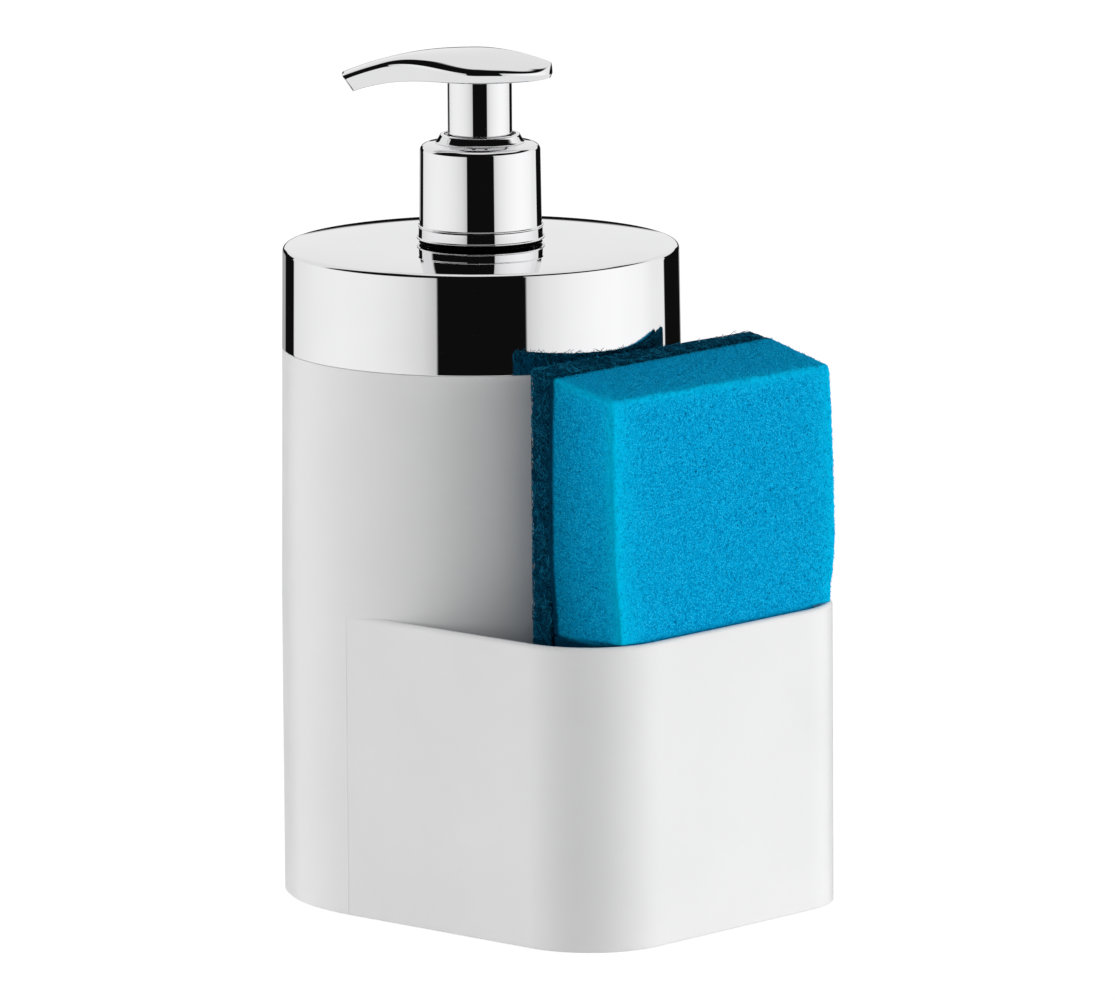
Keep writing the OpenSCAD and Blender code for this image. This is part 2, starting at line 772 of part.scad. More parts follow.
// A soft block from y_back to y_front, with rounded edges and a slanting top
module soft_block(y_back, y_front, levels, r, squeezed_r, swell, pull) {
    half_t = (y_front - y_back) / 2;
    function place(p, s) = let (
            depth = p[1] + half_t,
            y = y_back + depth * (1 - pull * s * s / (2 * half_t)),
            x = p[0] * (1 + swell * sin(180 * s) / (sponge_w / 2))
        )
        [sponge_shift + x, -y,
         sponge_z + s * (sponge_h + sponge_rise * (foam_front_y - y) / (foam_t + pad_t))];
    polyhedron(
        points = [for (v = levels)
            let (front_r = height_at(v[0]) < free_z ? squeezed_r : r)
            each [for (p = block_outline(sponge_w / 2 - v[1], half_t - v[1], r, front_r))
                place(p, v[0])]],
        faces = loft_faces(len(levels), 4 * (corner_steps + 1))
    );
}

module sponge_foam() {
    color("deepskyblue")
        soft_block(glue_y, foam_front_y, foam_levels(), foam_edge_r, squeeze_r,
                   foam_swell, foam_pull);
}

module scouring_pad() {
    color("midnightblue")
        soft_block(pad_back_y, glue_y, block_levels(sponge_h, pad_edge_r),
                   pad_edge_r, pad_edge_r, 0, 0);
}

caddy_body();
lid_cover();
lid_seal();
closure_shell();
closure_nut();
neck_gasket();
pump_housing();
lock_ring();
pump_head();
stem_sleeve();
piston_rod();
piston_seat();
piston_seal();
return_spring();
ball_cage();
inlet_ball();
dip_tube();
sponge_foam();
scouring_pad();
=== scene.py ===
# %% [markdown]
# # A soap pump caddy
#
# The object is a bathroom caddy: a round white soap tank with a sponge pocket
# moulded onto its front, a bright plated lid, a lotion pump with a long drooping
# nozzle, and a two-layer sponge that stands in the pocket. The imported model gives
# every solid in its true place, in metres. This file gives each one its looks.

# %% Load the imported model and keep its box
import math

import bpy
import numpy as np
from mathutils import Matrix, Vector


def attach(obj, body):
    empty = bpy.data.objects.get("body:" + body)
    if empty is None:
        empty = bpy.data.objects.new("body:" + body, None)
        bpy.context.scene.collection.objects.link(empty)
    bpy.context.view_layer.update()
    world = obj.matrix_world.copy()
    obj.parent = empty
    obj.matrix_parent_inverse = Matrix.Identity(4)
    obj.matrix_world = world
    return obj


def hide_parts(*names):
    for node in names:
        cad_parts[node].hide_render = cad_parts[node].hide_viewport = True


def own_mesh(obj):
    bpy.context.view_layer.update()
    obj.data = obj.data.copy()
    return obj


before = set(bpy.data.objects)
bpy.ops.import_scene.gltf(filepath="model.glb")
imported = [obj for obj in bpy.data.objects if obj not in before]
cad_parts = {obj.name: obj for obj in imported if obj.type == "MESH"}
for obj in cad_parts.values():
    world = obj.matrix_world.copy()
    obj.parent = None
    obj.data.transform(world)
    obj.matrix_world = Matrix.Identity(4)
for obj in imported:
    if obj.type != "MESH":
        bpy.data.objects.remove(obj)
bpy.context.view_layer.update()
MM = 0.001

# %% [markdown]
# ## Small helpers
#
# Colours are written as they look on a screen, in hex, and a shader wants them
# linear, so one function turns them. A material is a graph of nodes, and one small
# function adds a node with its settings and its incoming links.


# %% Colours and nodes
def linear(hex_colour):
    """Screen colour to linear light: the low end is divided by 12.92, and the rest
    is shifted by 0.055, divided by 1.055 and raised to the power 2.4."""
    screen = np.array([int(hex_colour[i:i + 2], 16) for i in (1, 3, 5)]) / 255
    light = np.where(screen <= 0.04045, screen / 12.92,
                     ((screen + 0.055) / 1.055) ** 2.4)
    return (*light.tolist(), 1.0)


def add_node(tree, kind, settings=None, links=None):
    """Adds one node. A setting goes to the input of that name or number, or else to
    the node's property, and a link joins an input to (node, output)."""
    node = tree.nodes.new("ShaderNode" + kind)
    for name, value in (settings or {}).items():
        if isinstance(name, int) or name in node.inputs:
            node.inputs[name].default_value = value
        else:
            setattr(node, name, value)
    for name, (source, output) in (links or {}).items():
        tree.links.new(source.outputs[output], node.inputs[name])
    return node


def new_material(name):
    """An empty node material."""
    material = bpy.data.materials.new(name)
    material.use_nodes = True
    material.node_tree.nodes.clear()
    return material, material.node_tree


def set_stops(ramp, stops):
    """Gives a colour ramp its stops, as pairs of place and hex colour."""
    elements = ramp.color_ramp.elements
    while len(elements) < len(stops):
        elements.new(1)
    for element, (place, colour) in zip(elements, stops):
        element.position = place
        element.color = linear(colour)
    return ramp


def put(name, data):
    """Puts a new object with this data into the scene."""
    made = bpy.data.objects.new(name, data)
    bpy.context.scene.collection.objects.link(made)
    return made


print("mid grey on screen is", round(linear("#808080")[0], 3), "in linear light")


# %% [markdown]
# ## Camera
#
# The camera stands where the photograph was taken from: three metres away with a
# long lens, a little to the left of the front corner and ten degrees above level.
# Its axes are worked out from those angles and put straight into its matrix.

# %% Camera
CAMERA_AZIMUTH = math.radians(-47.63136725)
CAMERA_ELEVATION = math.radians(9.97743808)
CAMERA_ROLL = math.radians(-0.38921134)
CAMERA_DISTANCE = 3.0310594
CAMERA_TARGET = np.array([0.0055226045, -0.01999784555, 0.09839536719])

to_camera = np.array([math.sin(CAMERA_AZIMUTH), -math.cos(CAMERA_AZIMUTH), 0.0])
to_right = np.array([math.cos(CAMERA_AZIMUTH), math.sin(CAMERA_AZIMUTH), 0.0])
back = to_camera * math.cos(CAMERA_ELEVATION)
back[2] = math.sin(CAMERA_ELEVATION)
level_up = np.cross(back, to_right)
axis_x = to_right * math.cos(CAMERA_ROLL) + level_up * math.sin(CAMERA_ROLL)
axis_y = level_up * math.cos(CAMERA_ROLL) - to_right * math.sin(CAMERA_ROLL)
place = CAMERA_TARGET + back * CAMERA_DISTANCE

camera_data = bpy.data.cameras.new("photo_camera")
camera_data.lens = 396.217
camera_data.sensor_width = 36
camera_data.clip_end = 60
camera = put("photo_camera", camera_data)
camera.matrix_world = Matrix([[*row] for row in np.vstack([
    np.column_stack([axis_x, axis_y, back, place]), [0, 0, 0, 1]])])
bpy.context.scene.camera = camera
bpy.context.scene.view_settings.view_transform = "Standard"
print("camera at", np.round(place, 3))

# %% [markdown]
# ## Studio
#
# White plastic shows the light that falls on it, and bright plating shows the room.
# So the studio has two parts. Soft low lamps on each side, weak ones behind and
# overhead, and a world that is pale at the horizon and dark above light the plastic
# and the sponge. A large shell of white cards and black flags, which only glossy
# rays see, gives the plating its crisp light and dark bands. A white ground closes
# the picture, and keeps a faint shadow.


# %% World and lamps
world = bpy.data.worlds.new("soft_studio")
bpy.context.scene.world = world
world.use_nodes = True
sky = world.node_tree
sky.nodes.clear()
HORIZON, ZENITH = 0.40, 0.02
path = add_node(sky, "LightPath")
sky_place = add_node(sky, "TexCoord")
sky_axes = add_node(sky, "SeparateXYZ", {}, {0: (sky_place, "Generated")})
sky_level = add_node(sky, "MapRange", {"To Min": HORIZON, "To Max": ZENITH},
                     {"Value": (sky_axes, "Z")})
shown = add_node(sky, "Math", {"operation": "ADD"},
                 {0: (path, "Is Camera Ray"), 1: (path, "Is Glossy Ray")})
shown = add_node(sky, "Math", {"operation": "ADD", "use_clamp": True},
                 {0: (shown, 0), 1: (path, "Is Transmission Ray")})
even = add_node(sky, "Background", {"Color": (1, 1, 1, 1)}, {"Strength": (sky_level, 0)})
white = add_node(sky, "Background", {"Color": (1, 1, 1, 1), "Strength": 1})
mixed = add_node(sky, "MixShader", {}, {0: (shown, 0), 1: (even, 0), 2: (white, 0)})
add_node(sky, "OutputWorld", {}, {"Surface": (mixed, 0)})


def direction(azimuth, elevation):
    """Unit vector towards an azimuth from the camera, positive to the picture's
    right, and an elevation, both in degrees."""
    a, e = np.radians(azimuth), np.radians(elevation)
    level = (np.cos(a)[..., None] * to_camera + np.sin(a)[..., None] * to_right)
    return level * np.cos(e)[..., None] + np.sin(e)[..., None] * np.array([0, 0, 1.0])


def add_lamp(name, azimuth, elevation, strength, spread):
    """A distant soft lamp: it shines from the given direction, over `spread` degrees."""
    lamp = bpy.data.lights.new(name, "SUN")
    lamp.energy = strength
    lamp.angle = math.radians(spread)
    rig = put(name, lamp)
    towards = Vector(direction(np.array(azimuth), np.array(elevation)))
    rig.rotation_euler = towards.to_track_quat("Z", "Y").to_euler()
    rig.visible_glossy = False


# Azimuth, elevation, strength and spread of each lamp
LAMPS = {"right_lamp": (85, 6, 1.86, 36), "right_fill": (65, 6, 1.27, 36),
         "left_lamp": (-70, 6, 1.54, 36), "left_fill": (-110, 6, 1.04, 36),
         "back_lamp": (180, 40, 0.38, 60), "top_lamp": (0, 80, 0.21, 40)}
for name, setting in LAMPS.items():
    add_lamp(name, *setting)
print("lamps:", list(LAMPS))


# %% [markdown]
# A grid of points is the base of every surface here. Its faces join each point to
# its neighbours, and wrap round where the surface closes on itself.


# %% Grids and mesh objects
def grid_faces(rows, columns, wrap_rows=False, wrap_columns=True):
    """Four-sided faces of a grid: each point, its neighbour along the row, the one
    diagonally on, and the one in the next row. Wrapped sides join back to the start."""
    i, j = np.meshgrid(np.arange(rows if wrap_rows else rows - 1),
                       np.arange(columns if wrap_columns else columns - 1), indexing="ij")
    i_next, j_next = (i + 1) % rows, (j + 1) % columns
    corners = [(i, j), (i, j_next), (i_next, j_next), (i_next, j)]
    return np.stack([a * columns + b for a, b in corners], axis=-1).reshape(-1, 4)


def enclosed(points, faces):
    """Signed volume: a sixth of the triple product of each triangle's corners, summed."""
    a, b, c, d = (points[faces[:, k]] for k in range(4))
    return (np.einsum("ij,ij->i", a, np.cross(b, c))
            + np.einsum("ij,ij->i", a, np.cross(c, d))).sum() / 6


def facing_out(points, faces):
    """Faces of a closed surface, turned over where its signed volume is negative."""
    return faces[:, ::-1] if enclosed(points, faces) < 0 else faces


def add_piece(name, points, faces, material, closed=True):
    """Puts a surface into a new object, with smooth faces. They are turned outwards
    where it is closed."""
    points = points.reshape(-1, 3)
    mesh = bpy.data.meshes.new(name)
    mesh.from_pydata(points, [], facing_out(points, faces) if closed else faces)
    mesh.polygons.foreach_set("use_smooth", np.ones(len(mesh.polygons), dtype=bool))
    mesh.materials.append(material)
    mesh.update()
    return put(name, mesh)


def fade(x, edge, width):
    """Smooth step from 0 to 1 over `width` round `edge`: with t the way through it,
    the value is t squared times three minus twice t."""
    t = np.clip((x - edge) / width + 0.5, 0, 1)
    return t * t * (3 - 2 * t)


print("a grid of 3 by 4 points, closed along its rows, has", len(grid_faces(3, 4)), "faces")


# %% [markdown]
# The shell is a sphere of eight metres radius. Azimuth is counted from the camera,
# positive to the right, and elevation from level. An upright white card stands on
# the left and ends a little over the horizon, and a taller one stands on the right.
# Low cards stand at the back under a pale ceiling, which starts higher over the two
# gaps beside them, and a black flag hangs over the front. The cards' tops matter:
# the foot of the closure sees them by way of the lid.


# %% Levels of the cards and flags
SHELL_RADIUS = 8.0
SHELL_MIDDLE = np.array([0.0, -0.02, 0.17])
DARK, FAR_LEVEL, CEILING_LEVEL, FLOOR_LEVEL = 0.005, 0.40, 0.90, 0.92
shell_az, shell_el = np.meshgrid(
    np.arange(-180, 180, 0.5),
    np.concatenate([np.arange(-90, -24, 3.0), np.arange(-24, 20, 0.5),
                    np.arange(20, 91, 2.0)]), indexing="xy")


def card(places, levels, top=90, soft=1.2, top_soft=1.2):
    """An upright card between its first and last place in degrees and up to its
    top: its level runs straight from place to place, its sides fade over `soft` and
    its top over `top_soft`."""
    inside = fade(shell_az, places[0], soft) * (1 - fade(shell_az, places[-1], soft))
    return (inside * (1 - fade(shell_el, top, top_soft))
            * np.interp(shell_az, places, levels))


side_cards = (card([-138.9, -128, -110, -88, -65, -49, -34, -25.3],
                   [0.87, 0.95, 1.03, 1.055, 1.015, 0.94, 0.82, 0.63],
                   top=8.9, top_soft=0.5)
              + card([26.2, 30, 37, 52, 72, 86, 107, 119, 133],
                     [0.72, 0.82, 0.94, 1.06, 1.15, 1.17, 1.11, 1.0, 0.97],
                     top=30, top_soft=6))
far_cards = FAR_LEVEL * (fade(-shell_az, 157.5, 2) + fade(shell_az, 169, 2)) * (
    1 - fade(shell_el, -3.5, 1.5))
flag = card([-103, 131], [1, 1], top=66 - 18 * fade(shell_az, 85, 60), soft=8, top_soft=8)
gaps = card([-166, -139.5], [1, 1], soft=3) + card([134, 166], [1, 1], soft=3)
ceiling = (1 - flag) * CEILING_LEVEL * fade(shell_el - 7.5 * gaps, 4.2, 1.4)
floor = fade(-shell_el, 17.5, 4)
cards = np.maximum(side_cards + far_cards, ceiling)
glow = DARK + cards * (1 - floor) + FLOOR_LEVEL * floor
print("shell points:", shell_az.size, "levels", glow.min(), glow.max())

# %% [markdown]
# An attribute on the shell's points carries the levels to its material, which is
# nothing but light. Only glossy rays see the shell.

# %% Shell
shell_glow, shell_tree = new_material("studio_cards")
level_of = add_node(shell_tree, "Attribute", {"attribute_name": "card_level"})
shine = add_node(shell_tree, "Emission", {"Color": (1, 1, 1, 1)},
                 {"Strength": (level_of, "Fac")})
add_node(shell_tree, "OutputMaterial", {}, {"Surface": (shine, 0)})
shell_glow.cycles.emission_sampling = "NONE"
shell = add_piece("studio_shell",
                  SHELL_MIDDLE + SHELL_RADIUS * direction(shell_az, shell_el),
                  grid_faces(*shell_az.shape), shell_glow)
shell.data.attributes.new("card_level", "FLOAT", "POINT").data.foreach_set(
    "value", glow.ravel())
for kind in ("camera", "diffuse", "transmission", "shadow", "volume_scatter"):
    setattr(shell, "visible_" + kind, False)
print("shell faces:", len(shell.data.polygons))

# %% [markdown]
# The ground is a big white sheet. For the camera it is mostly its own light, which
# keeps it white to the edge of the picture, and partly lit paper, which keeps the
# object's shadow. For light that bounces off it, it is plain pale paper.

# %% Ground
ground_paint, ground_tree = new_material("studio_paper")
path = add_node(ground_tree, "LightPath")
paper = add_node(ground_tree, "BsdfDiffuse", {"Color": linear("#F2F2F2")})
lit = add_node(ground_tree, "BsdfDiffuse", {"Color": linear("#959595")})
own = add_node(ground_tree, "Emission", {"Color": (1, 1, 1, 1), "Strength": 0.875})
seen = add_node(ground_tree, "AddShader", {}, {0: (lit, 0), 1: (own, 0)})
mixed = add_node(ground_tree, "MixShader", {},
                 {0: (path, "Is Camera Ray"), 1: (paper, 0), 2: (seen, 0)})
add_node(ground_tree, "OutputMaterial", {}, {"Surface": (mixed, 0)})
ground_paint.cycles.emission_sampling = "NONE"
GROUND_HALF, GROUND_Z = 30.0, -0.0002
ground_corners = np.array([[-1, -1, 0], [1, -1, 0], [1, 1, 0], [-1, 1, 0]]) * GROUND_HALF
ground = add_piece("studio_ground", ground_corners + [0, 0, GROUND_Z],
                   np.array([[0, 1, 2, 3]]), ground_paint, closed=False)
ground.visible_glossy = False
print("ground:", 2 * GROUND_HALF, "m wide")

# %% [markdown]
# ## Finishes
#
# Each finish starts from what the real one is and how its surface was made, and
# its patterns are sized from real millimetres. Object coordinates are metres, so a
# pattern of period p millimetres has the scale 1000 / p.


# %% Patterns and layers
def per_mm(period):
    """Texture scale for a pattern of that period in millimetres."""
    return 1000 / period


def pattern(tree, period, detail=2.0, roughness=0.5, distortion=0.0, stretch=(1, 1, 1)):
    """Noise whose blotches are about `period` mm wide, on the object's own place."""
    where = add_node(tree, "TexCoord")
    laid = add_node(tree, "Mapping", {"Scale": stretch}, {"Vector": (where, "Object")})
    return add_node(tree, "TexNoise", {
        "Scale": per_mm(period), "Detail": detail, "Roughness": roughness,
        "Distortion": distortion}, {"Vector": (laid, 0)})


def layers(tree, tone, gloss=None, grains=(), under=None, places=(0.3, 0.7)):
    """The layers that most finishes have, as links for the shader. Each starts with
    what its pattern is called with. `tone` has its colours at two places, `gloss`
    its roughnesses at 0.3 and 0.7, and each of `grains` its depth in mm and its
    strength, laid over the one before it or over `under`."""
    ramp = add_node(tree, "ValToRGB", {}, {"Fac": (pattern(tree, *tone[0]), 0)})
    links = {"Base Color": (set_stops(ramp, list(zip(places, tone[1:]))), 0)}
    if gloss:
        rough = add_node(tree, "MapRange", {"From Min": 0.3, "From Max": 0.7,
                                            "To Min": gloss[1], "To Max": gloss[2]},
                         {"Value": (pattern(tree, *gloss[0]), 0)})
        links["Roughness"] = (rough, 0)
    for height, depth, strength in grains:
        below = {"Normal": (under, 0)} if under else {}
        under = add_node(tree, "Bump", {"Strength": strength, "Distance": depth * MM},
                         {"Height": (pattern(tree, *height), 0), **below})
        links["Normal"] = (under, 0)
    return links


def mask(tree, *slopes):
    """Product of slopes that fall from 1 to 0. Each has its source, and the places
    in mm where it starts and ends."""
    product = None
    for source, start, end in slopes:
        slope = add_node(tree, "MapRange", {"From Min": start * MM, "From Max": end * MM,
                                            "To Min": 1, "To Max": 0}, {"Value": source})
        product = add_node(tree, "Math", {"operation": "MULTIPLY"},
                           {0: (product, 0), 1: (slope, 0)}) if product else slope
    return product


def finish_with(tree, settings, links):
    """Closes a finish with its shader and the output."""
    shader = add_node(tree, "BsdfPrincipled", settings, links)
    add_node(tree, "OutputMaterial", {}, {"Surface": (shader, 0)})


def plain_finish(name, settings, *layer_list):
    """A finish that has only its settings and layers."""
    material, tree = new_material(name)
    finish_with(tree, settings, layers(tree, *layer_list))
    return material


print("a pattern of 0.5 mm has the scale", per_mm(0.5))

# %% [markdown]
# ABS with a gloss of about thirty degrees: the tool was polished, so the plastic is
# smooth, a little wavy where it shrank, and plain white with no grain to see. Its
# edges are rounded by half a millimetre, and the two halves of the tool meet in the
# plane y = 0, where they leave a fine raised line below the pocket's rim.

# %% Moulded white ABS
EDGE_ROUND, PARTING_HALF_W, PARTING_H, PARTING_TOP = 0.45, 0.30, 0.10, 75.0
white_abs, tree = new_material("moulded_white_ABS")
edges = add_node(tree, "Bevel", {"samples": 6, "Radius": EDGE_ROUND * MM})
place_of = add_node(tree, "TexCoord")
axes = add_node(tree, "SeparateXYZ", {}, {0: (place_of, "Object")})
off_plane = add_node(tree, "Math", {"operation": "ABSOLUTE"}, {0: (axes, "Y")})
line = mask(tree, ((off_plane, 0), 0, PARTING_HALF_W),
            ((axes, "Z"), PARTING_TOP - 1, PARTING_TOP))
parting = add_node(tree, "Bump", {"Strength": 1.0, "Distance": PARTING_H * MM},
                   {"Height": (line, 0), "Normal": (edges, 0)})
finish_with(tree, {"IOR": 1.5, "Specular IOR Level": 0.4}, layers(
    tree, ((35, 3), "#EEEEEE", "#F1F1F1"), ((6, 4), 0.30, 0.38),
    [((22, 1), 0.03, 0.25), ((0.5, 3), 0.004, 0.25)], under=parting, places=(0.35, 0.65)))
print("parting line:", 2 * PARTING_HALF_W, "mm wide, up to", PARTING_TOP, "mm")

# %% [markdown]
# Bright chrome plated on plastic: a nearly perfect mirror. Plated mouldings are
# never quite true, so a slow wave of a few hundredths of a millimetre bends the
# reflections a little, and the roughness breathes where hands have wiped it. Under
# the closure's foot, in the narrow gap down to the lid, the colour is painted nearly
# black as painted shade, and the roughness is raised.

# %% Bright chrome on plastic
RECESS_R, RECESS_TOP, RECESS_SOFT_R, RECESS_SOFT_Z = 15.15, 163.4, 0.15, 0.2
bright_chrome, tree = new_material("bright_chrome_on_ABS")
plating = layers(tree, ((30, 2), "#E6E6E7", "#EAEAEB"), ((14, 5, 0.6), 0.008, 0.028),
                 [((16, 1), 0.012, 0.3)])
place_of = add_node(tree, "TexCoord")
flat_place = add_node(tree, "Mapping", {"Scale": (1, 1, 0)},
                      {"Vector": (place_of, "Object")})
off_axis = add_node(tree, "VectorMath", {"operation": "LENGTH"}, {0: (flat_place, 0)})
axes = add_node(tree, "SeparateXYZ", {}, {0: (place_of, "Object")})
# Painted shade: inside RECESS_R and below RECESS_TOP the plating's colour is mixed to near
# black
painted_recess_shade = mask(tree, ((off_axis, "Value"), RECESS_R, RECESS_R + RECESS_SOFT_R),
              ((axes, "Z"), RECESS_TOP, RECESS_TOP + RECESS_SOFT_Z))
plated = add_node(tree, "Mix", {"data_type": "RGBA", 7: linear("#1C1C1E")},
                  {0: (painted_recess_shade, 0), 6: plating["Base Color"]})
dulled = add_node(tree, "Math", {"operation": "MAXIMUM"},
                  {0: plating["Roughness"], 1: (painted_recess_shade, 0)})
finish_with(tree, {"Metallic": 1.0},
            {**plating, "Base Color": (plated, 2), "Roughness": (dulled, 0)})
print("plating is dull inside", RECESS_R, "mm, below", RECESS_TOP, "mm")

# %% [markdown]
# Soft and natural plastics and the steels are inside the pump, and show when the
# lid or the pump is lifted off. The seals are moulded rubber, dull and dark. The
# housing, seal and dip tube are natural polypropylene, which is milky. The nut,
# rod, seat and cage are white acetal. The spring is drawn steel wire and the ball
# is ground and tumbled steel.

# %% Rubber, natural and white plastics, steels
# The wire lies nearly level, so its draw lines are noise flattened four times
DRAWN, SCUFFED = (0.5, 3, 0.5, 0.0, (1, 1, 4)), (0.6, 4)
seal_rubber = plain_finish(
    "moulded_nitrile_rubber", {"Roughness": 0.72, "IOR": 1.5},
    ((3, 4), "#45464A", "#55565A"), None, [((0.3, 3), 0.01, 0.5)])
natural_pp = plain_finish(
    "natural_polypropylene", {"IOR": 1.49, "Transmission Weight": 0.35},
    ((9, 3), "#DADDDC", "#E6E8E6"), ((2.5, 4), 0.30, 0.42), [((1.2, 2), 0.01, 0.3)])
white_acetal = plain_finish(
    "moulded_white_acetal", {"IOR": 1.48},
    ((8, 3), "#E7E7E3", "#EEEEEA"), ((2, 4), 0.42, 0.55), [((0.4, 3), 0.008, 0.4)])
spring_wire = plain_finish("drawn_spring_steel_wire", {"Metallic": 1.0},
                           (DRAWN, "#A9ABAE", "#C2C4C7"), (DRAWN, 0.22, 0.38))
ball_steel = plain_finish("tumbled_ball_steel", {"Metallic": 1.0},
                          (SCUFFED, "#B8BABD", "#CACCCF"), (SCUFFED, 0.10, 0.22))

node_finish = {
    "caddy_body": white_abs, "lid_seal": seal_rubber, "neck_gasket": seal_rubber,
    "closure_nut": white_acetal, "piston_rod": white_acetal, "piston_seat": white_acetal,
    "ball_cage": white_acetal, "pump_housing": natural_pp, "piston_seal": natural_pp,
    "dip_tube": natural_pp, "inlet_ball": ball_steel}
for name, material in node_finish.items():
    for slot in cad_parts[name].material_slots:
        slot.material = material
print("CAD nodes dressed:", len(node_finish))

# %% [markdown]
# ## Turned pieces
#
# Lid, closure, lock ring and sleeve are all round, so each is a profile carried
# round the axis. A plated edge is never sharp: the profile is walked in fine steps
# and averaged, which rounds every corner, and then thinned to the points that
# matter. The profile's own slope gives the normals, so the mirror stays true.

# %% Lathe
TURNED_STEPS = 288
STRAIGHT = math.radians(0.02)


def soft_profile(corners, soften, turn=7.0, stride=6.0, step=0.02):
    """A closed profile of (radius, height) corners in mm, rounded: walked in steps
    of `step`, blurred with a bell curve of width `soften`, and thinned to the points
    where it has turned by `turn` degrees or gone on by `stride` mm, and to the ends
    of its straight runs. Gives the points and their outward slopes."""
    loop = np.vstack([corners, corners[:1]])
    run = np.concatenate([[0], np.cumsum(np.hypot(*np.diff(loop, axis=0).T))])
    count = int(run[-1] / step)
    at = np.arange(count) * run[-1] / count
    walked = np.interp(at, run, loop[:, 0]) + 1j * np.interp(at, run, loop[:, 1])
    blur = np.exp(-2 * (np.pi * np.fft.fftfreq(count, run[-1] / count) * soften) ** 2)
    walked = np.fft.ifft(np.fft.fft(walked) * blur)
    along = np.roll(walked, -1) - np.roll(walked, 1)
    turned = np.abs(np.angle(np.roll(along, -1) / along))
    measure = np.cumsum(turned) / math.radians(turn) + at / stride
    straight = turned < STRAIGHT
    keep = np.flatnonzero((np.diff(np.floor(measure), prepend=-1) > 0)
                          | (straight != np.roll(straight, 1)))
    outward = -1j * along[keep] / np.abs(along[keep])
    kept = walked[keep]
    if (np.conj(walked) * np.roll(walked, -1)).imag.sum() < 0:
        outward = -outward
    return np.stack([kept.real, kept.imag], 1), np.stack([outward.real, outward.imag], 1)


def turned_piece(name, corners, material, soften=0.1):
    """A piece of revolution: point = (radius cos a, radius sin a, height), and its
    normal is the profile's outward slope, turned the same way."""
    profile, slope = soft_profile(np.array(corners, dtype=float), soften)
    a = np.linspace(0, 2 * np.pi, TURNED_STEPS, endpoint=False)
    spun = [np.stack([rz[:, :1] * np.cos(a), rz[:, :1] * np.sin(a),
                      np.repeat(rz[:, 1:], TURNED_STEPS, axis=1)], axis=-1)
            for rz in (profile, slope)]
    faces = grid_faces(len(profile), TURNED_STEPS, wrap_rows=True)
    piece = add_piece(name, spun[0] * MM, faces, material)
    piece.data.normals_split_custom_set_from_vertices(spun[1].reshape(-1, 3))
    print(name, "profile points:", len(profile), "faces:", len(faces))
    return piece


def arc(middle, radii, start, end, count=24):
    """Points of an arc of an ellipse in the profile's plane, angles in degrees."""
    a = np.radians(np.linspace(start, end, count))
    return np.stack([middle[0] + radii[0] * np.cos(a), middle[1] + radii[1] * np.sin(a)], 1)


# %% [markdown]
# The lid is a plated cap. Its skirt leans in a little so that it leaves the mould,
# its top edge has a radius of about one millimetre, and its top is nearly level
# until close to that edge, which is what gives the dark line along the back.

# %% Lid
LID_FOOT_R, LID_TOP_R, LID_EDGE_R = 49.3, 49.0, 1.1
LID_FOOT_Z, LID_TOP_Z, LID_CROWN, CROWN_POWER = 136.0, 161.0, 0.8, 6
SKIRT_BORE_R, UPPER_BORE_R, STEP_Z, PLATE_Z = 47.9, 46.9, 147.2, 158.8
NECK_R, NECK_BORE_R, NECK_TOP_Z = 12.9, 10.4, 181.0
flat_r = LID_TOP_R - LID_EDGE_R
crown_r = np.linspace(flat_r, NECK_R, 60)
crown_z = LID_TOP_Z + LID_CROWN * (1 - (crown_r / flat_r) ** CROWN_POWER)
lid = turned_piece("lid_shell", np.vstack([
    [[SKIRT_BORE_R, LID_FOOT_Z + 0.04], [LID_FOOT_R, LID_FOOT_Z + 0.04]],
    arc((flat_r, LID_TOP_Z - LID_EDGE_R), (LID_EDGE_R, LID_EDGE_R), 0, 85),
    np.stack([crown_r, crown_z], 1),
    [[NECK_R, NECK_TOP_Z], [NECK_BORE_R, NECK_TOP_Z], [NECK_BORE_R, PLATE_Z],
     [UPPER_BORE_R, PLATE_Z], [UPPER_BORE_R, STEP_Z], [SKIRT_BORE_R, STEP_Z]]]),
    bright_chrome)
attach(lid, "lid")
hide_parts("lid_cover")

# %% [markdown]
# The closure is a thin bright shell over the threaded nut: a fine lip and a straight
# bead at its foot, a tall plain wall, and a rounded shoulder under a nearly flat
# top.

# %% Closure cap
CAP_Z, BEAD_Z, CAP_TOP_Z, SHELL_WALL = 162.8, 166.0, 186.6, 0.8
LIP_R, BEAD_R, BEAD_RIM_R, WALL_R, SHELL_BORE_R = 15.85, 15.38, 15.5, 15.12, 14.15
SHOULDER_R, SHOULDER_X, SHOULDER_H, SHOULDER_DROP = 12.9, 2.0, 1.7, 2.0
RING_FOOT_R, SHELL_HOLE_R = 11.2, 9.45
closure = turned_piece("closure_cap", np.vstack([
    [[SHELL_BORE_R, CAP_Z], [LIP_R, CAP_Z], [LIP_R, CAP_Z + 0.3],
     [BEAD_R + 0.04, CAP_Z + 0.38], [BEAD_R, BEAD_Z - 0.4],
     [BEAD_RIM_R, BEAD_Z - 0.24], [BEAD_RIM_R, BEAD_Z],
     [WALL_R, BEAD_Z + 0.12]],
    arc((SHOULDER_R, CAP_TOP_Z - SHOULDER_DROP), (SHOULDER_X, SHOULDER_H), 0, 88),
    [[RING_FOOT_R, CAP_TOP_Z], [SHELL_HOLE_R, CAP_TOP_Z],
     [SHELL_HOLE_R, CAP_TOP_Z - SHELL_WALL],
     [SHELL_BORE_R, CAP_TOP_Z - SHELL_WALL]]]), bright_chrome, soften=0.08)
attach(closure, "closure")
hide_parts("closure_shell")

# %% [markdown]
# The lock ring stands on the closure with a conical flank and a rounded lip, and
# its tube reaches down into the pump to guide the rod. The sleeve comes out of it
# and carries the head.

